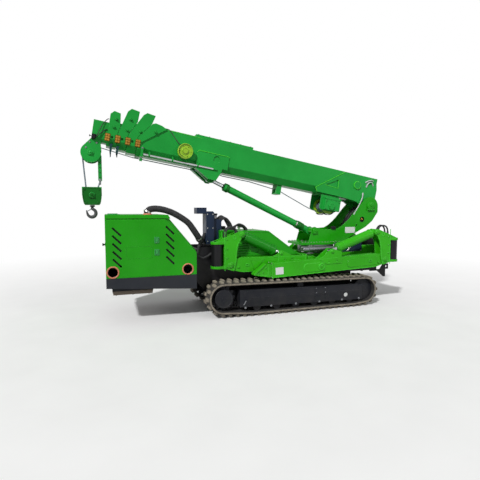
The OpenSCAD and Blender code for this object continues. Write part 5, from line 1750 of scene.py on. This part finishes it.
@dataclass
class HookGear:
    """The falls, link bar, block cheeks and the forged hook, which hang upright from the tip sheave."""

    centre: tuple = (-1560.9, 1550.7)
    fall: float = 75.5
    rope_r: float = 6.4
    block_top: float = 1240
    block_low: float = 1073
    block_w: float = 86
    ring_z: float = 998
    ring_r: float = 37
    holes: tuple = (1330, 1375, 1420, 1465)

    def falls(self) -> None:
        """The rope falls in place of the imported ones, the link bar and the rope's socket under it."""
        x, z = self.centre
        front = np.array([(x - self.fall, 0, z), (x - self.fall + 3, 0, 1500),
            (x - self.fall + 24, 0, self.block_top + 0.5)])
        rear = np.array([(x + self.fall, 0, 1300), (x + self.fall - 20, 0, self.block_top + 0.5)])
        ropes = stranded(smooth_route(front, 8), self.rope_r) + stranded(rear, self.rope_r)
        add_piece("hoist_rope_falls", ropes, ROPE_STEEL, "hook", ["rope_falls"])
        bar = side_view(Side.LEFT, 27, x + self.fall)
        link = [plate(rounded(-17, 1292, 17, 1535, 12), bar, 0, 9)]
        link += [round_rim([(5, 8), (5, 10.5), (9, 10.5), (10, 8)], bar.shifted(0, b), 20)
            for b in self.holes]
        add_piece("rope_link_bar", link, BOOM_GREEN, "hook")
        # black discs in the link bar's holes: painted shade inside them
        dark = [plate(disc(0, b, 4.8, 14), bar, 8.5, 9.4, 0.4) for b in self.holes]
        add_piece("rope_link_bar_holes", dark, FRAME_BLACK, "hook")
        pin = side_view(Side.LEFT, -10, x + self.fall, 1305)
        socket = lathe([(9, 0), (10, 1), (10, 40), (12, 41), (12, 46), (6, 47)], pin, 20)
        ferrule = Plane((x + self.fall - 3, 0, 1262), (1, 0, 0), (0, 1, 0), (0.05, 0, 0.9987))
        socket += lathe([(6.5, 0), (9, 4), (9, 30), (12, 40), (12, 52)], ferrule, 20)
        add_piece("rope_socket", socket, STEEL_GREY, "hook")

    def outline(self, by: float) -> Array:
        """The cheek's outline with round corners, drawn in by a distance.

        Args:
            by: how far it is drawn in.

        Returns:
            Its corners as pairs (x, z).
        """
        w, top, low, x = self.block_w - by, self.block_top - by, self.block_low + by, self.centre[0]
        half = np.array([(w - 22, low), (w - 13, low + 6), (w - 6, low + 30), (w, top - 92), (w, top - 22),
            (w - 7, top - 6), (w - 22, top)])
        return np.vstack([half, half[::-1] * [-1, 1]]) + [x, 0]

    def cheeks(self) -> None:
        """Cheek plates with a raised rim, the sheave pin's caps and the bolts that join them."""
        shells, bolts, caps = [], [], []
        for side in Side:
            face = side_view(side, 32.2)
            shells.append(plate(self.outline(3), face, -1, 4))
            shells.append(frame_bar(self.outline(3), face, 8, 3, 7))
            caps.append(pin_cap(side_view(side, 44.2, self.centre[0], self.block_top - 74), 22, 5))
            spots = [(self.centre[0] + k * a, b) for a, b in ((66, 1218), (50, 1094)) for k in (-1, 1)]
            bolts.append(hex_bolts(face.shifted(c=4), spots, 7.8))
        add_piece("hook_block_cheeks", shells, BLOCK_GREEN, "hook")
        add_piece("hook_block_caps", caps, BLOCK_GREEN, "hook")
        add_piece("hook_block_bolts", bolts, BLOCK_GREEN, "hook")

    def hook(self) -> None:
        """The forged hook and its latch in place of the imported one.

        Its centre line is an arc of ring_r round the ring's centre that runs on up to the shank. The
        section at angle a is r(a) (0.8 cos v, sin v) across the plane and in it, with r swelling from
        the tip to the bottom and thinning again to the neck.
        """
        x, z = self.centre[0], self.ring_z
        a = np.radians(np.linspace(188, 448, 44))
        arc = np.stack([x - 8 + self.ring_r * np.cos(a), 0 * a, z + self.ring_r * np.sin(a)], 1)
        neck = np.array([(x - 4, 0, z + 42), (x, 0, z + 54.5), (x, 0, z + 73.5)])
        tip = np.array([(x - 53, 0, z + 27), (x - 50, 0, z + 12)])
        route = even_steps(smooth_route(np.vstack([tip, arc[1:-4], neck]), 4), 90)
        share = np.linspace(0, 1, len(route))
        size = np.interp(share, [0, 0.02, 0.12, 0.42, 0.72, 0.92, 1.0], [3, 5.5, 9.5, 16.5, 15, 11.5, 12.5])
        t = unit(np.gradient(route, axis=0))
        n = unit(np.cross(t, (0, 1, 0)))
        v = full_turn(20)[None, :, None]
        rings = route[:, None] + size[:, None, None] * (np.sin(v) * n[:, None] + 0.8 * np.cos(v)
            * np.array([0, 1, 0]))
        body = ring_stack(rings)
        stem = top_view(z + 56.5, x)
        body += lathe([(12.5, 0), (21, 2), (23, 6), (23, 13), (18, 16.5)], stem, 28)
        add_piece("forged_hook", body, HOOK_GREY, "hook", ["hook"])
        latch = side_view(Side.LEFT, -6)
        blade = plate([(x + 4, z + 48), (x - 6, z + 44), (x - 50, z + 19), (x - 47, z + 14),
            (x - 6, z + 34), (x + 8, z + 40)], latch, 0, 12)
        pivot = side_view(Side.LEFT, -12, x + 2, z + 42)
        blade += lathe([(4, 0), (5, 1), (5, 23), (4, 24)], pivot, 14)
        add_piece("hook_latch", blade, STEEL_GREY, "hook")

    def build(self) -> None:
        """Adds everything that hangs from the tip."""
        self.falls()
        self.cheeks()
        self.hook()


# Outrigger legs


@dataclass
class LegTrim:
    """What is fixed to one outrigger leg: pin caps, doublers, rings, bolts, hoses and welds."""

    side: Side
    end: End
    fold: tuple = (128, 492)
    top_pin: tuple = (238, 790)
    beam_w: float = 42
    turret_w: float = 52.5
    barrel_r: float = 48

    def __post_init__(self) -> None:
        """Takes the leg's sizes and finds the planes of its turret and beam from its joints."""
        front = self.end is End.FRONT
        self.tag = self.end.value + ("l" if self.side is Side.LEFT else "r")
        self.low_pin = (664, 589) if front else (787, 598)
        self.pin = (535, 102) if front else (653.5, 136)
        self.beam_end = 832 if front else 1337
        self.foot_tip = 1022 if front else 1527
        self.barrel_end = 404 if front else 490
        self.round_end = 195 if front else 291
        self.ring_s = 171 if front else 190
        at = joint_spot(f"fold_{self.tag}")
        axis = JOINTS[f"reach_{self.tag}"]["axis"]
        dx = math.copysign(1, axis[0])
        self.dx = dx
        self.up = (-dx * axis[2], 0, dx * axis[0])
        self.axis = tuple(axis)
        self.at = at

    def beam(self, side: Side, off: float, s: float = 0.0, h: float = 0.0) -> Plane:
        """The beam's plane through (s, h) seen from that side, off from the leg's middle."""
        x, y, z = self.at
        return Plane((x, y + side.value * off, z), self.axis, self.up, (0, side.value, 0)).shifted(s, h)

    def turret(self, side: Side, off: float, u: float = 0.0, z: float = 0.0) -> Plane:
        """The turret's plane through (u, z) seen from that side: u from the slewing axis, z up."""
        origin = (self.at[0] - self.dx * self.fold[0], self.at[1] + side.value * off, 0)
        return Plane(origin, (self.dx, 0, 0), (0, 0, 1), (0, side.value, 0)).shifted(u, z)

    def add(self, kind: str, shell: Shell | list, finish: Finish, node: str) -> None:
        """Adds a piece to the leg's node of that kind; the leg's letters end both names."""
        add_piece(f"{kind}_{self.tag}", shell, finish, f"{node}_{self.tag}")

    def pins(self) -> None:
        """Caps of the fold pin and of the cylinder's upper and lower pins, on both sides."""
        upper, lower = [], []
        for side in Side:
            for spot, r, off in ((self.fold, 18, 6), (self.top_pin, 17, 8)):
                at = self.turret(side, self.turret_w + off, *spot)
                if self.end is End.REAR and side is self.side:
                    upper.append(lathe([(r, -1), (r, 2), (r - 3, 4), (r * 0.3, 4)], at, 28))
                else:
                    upper.append(pin_cap(at, r, 6))
            rim = [(27, -1), (27, 3), (31, 2), (32, -1)]
            upper.append(round_rim(rim, self.turret(side, self.turret_w, *self.fold), 36))
            lower.append(lathe([(20, -1), (20, 3), (13, 4), (13, 10), (10, 12)],
                self.beam(side, self.beam_w + 5, *self.pin), 26))
        shaft = self.beam(Side.LEFT, -self.beam_w - 4, *self.pin)
        lower.append(lathe([(11.5, 0), (11.5, 2 * self.beam_w + 8)], shaft, 20))
        self.add("turret_pin_caps", upper, LEG_GREEN, "turret")
        self.add("leg_low_pin", lower, LEG_GREEN, "beam")

    def turret_trim(self) -> None:
        """Weld beads along the turret's spine and edge, a frame on its cheek and a row of bolts."""
        shells, bolts = [], []
        edge = np.array([(156, 446), (176, 530), (180, 605), (193, 690), (226, 750)]).T
        for side in Side:
            face = self.turret(side, self.turret_w)
            shells.append(bead(face.at([66, 66], [440, 820], 0), 3.5))
            shells.append(bead(face.at(*edge, 0), 2.2))
            shells.append(frame_bar(rounded(145, 742, 180, 780, 12), face, 5, -1, 3))
            bolts.append(hex_bolts(face, product((88,), (470, 560, 650, 740)), 7))
        # the beads take the lighter green of a painted highlight
        self.add("turret_welds", shells, BEAD_HIGHLIGHT_GREEN, "turret")
        self.add("turret_bolts", bolts, LEG_GREEN, "turret")

    def beam_trim(self) -> None:
        """Doubler near the turret, oval ring, bolts on the lugs, end flange bolts and weld beads."""
        face = self.beam(self.side, self.beam_w)
        s = self.pin[0]
        shells = []
        if self.end is End.FRONT:
            shells.append(plate([(205, 40), (352, 46), (340, 30), (256, -54), (240, -50)], face, -1, 4))
        else:
            u = np.linspace(-math.pi / 2, math.pi / 2, 12)
            nose = np.stack([434 + 44 * np.cos(u), -6 + 44 * np.sin(u)], 1)
            shells.append(plate(np.vstack([[(100, -50)], nose, [(100, 38)]]), face, -1, 4))
        raised = 4 if self.end is End.REAR else 0
        at = face.shifted(self.ring_s, -2, raised)
        oval = rounded(-21, -12, 21, 12, 11, 7)
        shells.append(frame_bar(oval, at, 6, -1, 6))
        shells.append(lathe([(12, -1), (12, 6), (8, 9)], face.shifted(82, -26, raised), 20))
        boss = face.shifted(s + 132, -10, 8)
        shells.append(lathe([(16, -1), (16, 4), (8, 6)], boss, 24))
        self.add("beam_plates", shells, LEG_GREEN, "beam")
        beads = []
        u = np.linspace(-math.pi / 2, math.pi / 2, 16)
        a, b = s + self.round_end + 43.5 * np.cos(u), -10 + 43.5 * np.sin(u)
        beads.append(bead(face.at(a, b, 1), 3.2))
        for side in Side:
            out = self.beam(side, self.beam_w)
            beads.append(bead(out.at([s - 80, s + 150], [69.5, 65.5], 3), 2.8))
            beads.append(bead(out.at([110, self.beam_end - 20], [-71.5, -71.5], 0), 2.2))
        beads.append(round_rim([(27, -1), (27, 6), (33, 5), (34, -2)], boss, 40))
        beads.append(frame_bar(oval, at.shifted(c=5), 6, 0, 2))
        # beads, boss rim and oval rim take the lighter green of a painted highlight
        self.add("beam_welds", beads, BEAD_HIGHLIGHT_GREEN, "beam")
        flange = Plane(self.beam(self.side, 0, self.beam_end).origin, (0, 1, 0), self.up, self.axis)
        bolts = hex_bolts(flange, product((-36, 36), (-66, 72)), 5.5)
        self.add("beam_bolts", bolts, BOLT_ZINC, "beam")

    def foot_trim(self) -> None:
        """Bolts and a weld bead on both sides of the foot."""
        tip = self.foot_tip
        bolts = []
        for side in Side:
            out = self.beam(side, 33)
            bolts.append(hex_bolts(out, [(tip - 100, -10), (tip - 55, -18), (tip - 130, 30)], 7.5))
            bolts.append(bead(out.at([tip - 148, tip - 148], [-45, 50], 1), 2.5))
        self.add("foot_bolts", bolts, LEG_GREEN, "foot")

    def cylinder(self) -> None:
        """Weld rings and gland, ports and the steel pipe along the barrel, and two hoses."""
        a, b = np.array(self.top_pin), np.array(self.low_pin)
        d = unit(b - a)
        up = np.array([-d[1], d[0]])
        up = up if up[1] > 0 else -up
        middle = self.turret(self.side, 0)
        axis = Plane(tuple(middle.at(*a, 0)), (self.dx * up[0], 0, up[1]), (0, 1, 0),
            (self.dx * d[0], 0, d[1]))
        r, end = self.barrel_r, self.barrel_end
        rows = ((60, 7, 3), (end - 70, 5, 2.5), (end - 14, 10, 6))
        rings = [round_rim([(r - 1, k - w), (r + p, k - w + 2), (r + p, k + w - 2), (r - 1, k + w)], axis,
            44) for k, w, p in rows]
        rings.append(round_rim([(20, -1), (r - 6, -1), (r - 9, 6), (26, 9), (21, 9)], axis.shifted(c=end),
            44))
        # the front legs' rings and pipes take the same painted shade as their barrels
        finish = PAINTED_SHADE_LEG_GREEN if self.end is End.FRONT else LEG_GREEN
        self.add("leg_cylinder_rings", rings, finish, "leg_barrel")
        ports = []
        inner = -self.side.value
        for k in (85, end - 45):
            at = axis.shifted(0, inner * (r - 2), k)
            port = Plane(at.origin, axis.along, axis.out, tuple(inner * np.array(axis.up)))
            ports.append(plate(rounded(-13, -12, 13, 12, 3), port, 0, 16))
            ports.append(hex_bolts(port.shifted(c=16), [(0, 0)], 8))
        rows = [(10, 100), (9, 170), (9, end - 120), (9, end - 52)]
        ports.append(tube(smooth_route([tuple(axis.at(0, inner * (r + b), c)) for b, c in rows], 8), 5, 10))
        self.add("leg_cylinder_pipes", ports, finish, "leg_barrel")
        hoses = []
        for k in (-12, 12):
            rows = [(196, 800, k), (186, 838, k), (150, 858, 1.5 * k), (105, 848, 2 * k), (84, 812, 2 * k),
                (80, 760, 2 * k)]
            hoses.append(hose([tuple(middle.at(*row)) for row in rows], 8.5))
        self.add("leg_hoses", hoses, HOSE_RUBBER, "turret")

    def build(self) -> None:
        """Adds everything on the leg."""
        self.pins()
        self.turret_trim()
        self.beam_trim()
        self.foot_trim()
        self.cylinder()
        if self.tag == "rl":
            face = self.beam(self.side, self.beam_w)
            blank = plate(rounded(1212, -46, 1298, 26, 4), face, 0, 1.5, 0.5)
            add_piece("beam_blank_plate", blank, BLANK_WHITE, "beam_rl")


@dataclass
class DeckTrim:
    """Pieces seen over the deck between the legs: a navy panel with its strip, and the pivot's hoses."""

    panel_y: float = 205

    def build(self) -> None:
        """Adds the panel, the pale hose at the boom's pivot and its loops on the boom's tail."""
        face = side_view(Side.LEFT, self.panel_y)
        panel = plate(rounded(925, 566, 1285, 672, 8), face, 0, 3)
        panel += frame_bar(rounded(940, 578, 1270, 660, 6), face, 5, 2, 4.5)
        add_piece("deck_side_panel", panel, NAVY)
        strip = plate([(1085, 572), (1106, 572), (1192, 668), (1171, 668)], face, 3, 6)
        add_piece("deck_panel_strip", strip, BOLT_ZINC)
        screws = product((934, 1276), (574, 664))
        add_piece("deck_panel_screws", hex_bolts(face.shifted(c=3), screws, 4), BOLT_ZINC)
        loops = [[(1372, -128, 1336), (1424, -140, 1362), (1492, -120, 1350), (1512, -60, 1290)],
            [(1386, -128, 1285), (1404, -140, 1330), (1448, -142, 1340), (1480, -126, 1302)]]
        add_piece("boom_tail_hoses", [hose(rows, 6.5) for rows in loops], PALE_HOSE, "boom_base")
        rows = [(1336, -137, 1220), (1318, -146, 1150), (1270, -144, 1060), (1209, -146, 974)]
        add_piece("pivot_pale_hose", hose(rows, 6.5), PALE_HOSE, "column")


@dataclass(frozen=True)
class Studio:
    """Pale floor, soft light and the camera at the photograph's angle."""

    eye: tuple = (-1.435, -3.9, 1.0266)
    yaw: float = 18.9
    pitch: float = -4.42
    focal_px: float = 388.0
    picture_px: float = 480.0
    floor_half: float = 60.0
    sun: float = 2.55
    sky: float = 0.36
    gloss: float = 0.55
    bounce: float = 0.2
    fade: tuple = (2.2, 6.0)

    def camera(self) -> None:
        """Sets a camera at the eye, turned from +Y towards +X by yaw and up by pitch."""
        data = bpy.data.cameras.new("camera")
        data.sensor_width = 36.0
        data.lens = data.sensor_width * self.focal_px / self.picture_px
        data.clip_end = 500.0
        obj = bpy.data.objects.new("camera", data)
        yaw, pitch = math.radians(self.yaw), math.radians(self.pitch)
        look = Vector((math.sin(yaw) * math.cos(pitch), math.cos(yaw) * math.cos(pitch), math.sin(pitch)))
        obj.location = self.eye
        obj.rotation_euler = look.to_track_quat("-Z", "Y").to_euler()
        bpy.context.scene.collection.objects.link(obj)
        bpy.context.scene.camera = obj

    def lamp(self, name: str, direction: tuple, strength: float, softness: float) -> None:
        """A sun lamp that shines along the direction, with shadows softened by its angle.

        Args:
            name: the lamp's name.
            direction: where its light goes.
            strength: watts per square metre.
            softness: the angle in degrees.
        """
        data = bpy.data.lights.new(name, "SUN")
        data.energy = strength
        data.angle = math.radians(softness)
        obj = bpy.data.objects.new(name, data)
        obj.rotation_euler = Vector(direction).to_track_quat("-Z", "Y").to_euler()
        bpy.context.scene.collection.objects.link(obj)

    def world(self) -> None:
        """A white surround for the eye and for reflections, dimmer as a light."""
        world = bpy.data.worlds.new("surround")
        bpy.context.scene.world = world
        world.use_nodes = True
        nodes, links = world.node_tree.nodes, world.node_tree.links
        ground = nodes["Background"]
        ray = nodes.new("ShaderNodeLightPath")
        strength = None
        for name, level in (("Is Glossy Ray", self.gloss), ("Is Camera Ray", 1.0)):
            step = nodes.new("ShaderNodeMix")
            links.new(ray.outputs[name], step.inputs["Factor"])
            step.inputs["B"].default_value = level
            step.inputs["A"].default_value = self.sky
            if strength is not None:
                links.new(strength, step.inputs["A"])
            strength = step.outputs["Result"]
        links.new(strength, ground.inputs["Strength"])
        ground.inputs["Color"].default_value = (1.0, 1.0, 1.0, 1.0)

    def floor(self) -> None:
        """A wide pale floor that fades into the white surround with distance."""
        h = self.floor_half
        mesh = bpy.data.meshes.new("floor")
        mesh.from_pydata([(-h, -h, 0), (h, -h, 0), (h, h, 0), (-h, h, 0)], [], [(0, 1, 2, 3)])
        obj = bpy.data.objects.new("floor", mesh)
        bpy.context.scene.collection.objects.link(obj)
        t = Tree("floor")
        seen = t.math("MAXIMUM", *(t.add("LightPath", f"Is {kind} Ray", {})
            for kind in ("Camera", "Glossy")))
        grain = t.ramp(t.noise(3.0, 3.0), 0.3, 0.7)
        pale = t.mix(grain, rgba((0.93, 0.93, 0.925)), rgba((0.96, 0.96, 0.955)))
        t.shade(Base_Color=t.mix(seen, rgba((self.bounce,) * 3), pale), Roughness=0.9)
        length = t.add("VectorMath", "Value", {0: t.place}, operation="LENGTH")
        far = t.math("MULTIPLY", t.ramp(length, *self.fade), seen)
        glow = t.add("Emission", 0, {})
        t.plug(t.add("MixShader", 0, {0: far, 1: t.shader.outputs["BSDF"], 2: glow}), t.sink)
        mesh.materials.append(t.material)

    def build(self) -> None:
        """Everything round the machine."""
        bpy.context.scene.view_settings.view_transform = "Standard"
        self.camera()
        self.world()
        self.floor()
        self.lamp("key", (0.62, 0.62, -0.7), self.sun, 4.0)
        self.lamp("fill", (-0.6, 0.7, -0.35), self.sun * 0.14, 20.0)


def main() -> None:
    """Builds the machine's pieces in order and the studio round them."""
    logging.basicConfig(level=logging.INFO, format="%(message)s")
    Studio().build()
    coat_frame_nodes()
    for side in Side:
        RubberTrack(side).build()
        TrackFrameTrim(side).build()
    EngineHood().build()
    TankAndValves().build()
    ColumnTrim().build()
    SlewDriveTrim().build()
    LuffCylinderTrim().build()
    BoomTrim().build()
    CableReel().build()
    WinchAndRope().build()
    HookGear().build()
    DeckTrim().build()
    for side in Side:
        for end in End:
            LegTrim(side, end).build()


if __name__ == "__main__":
    main()
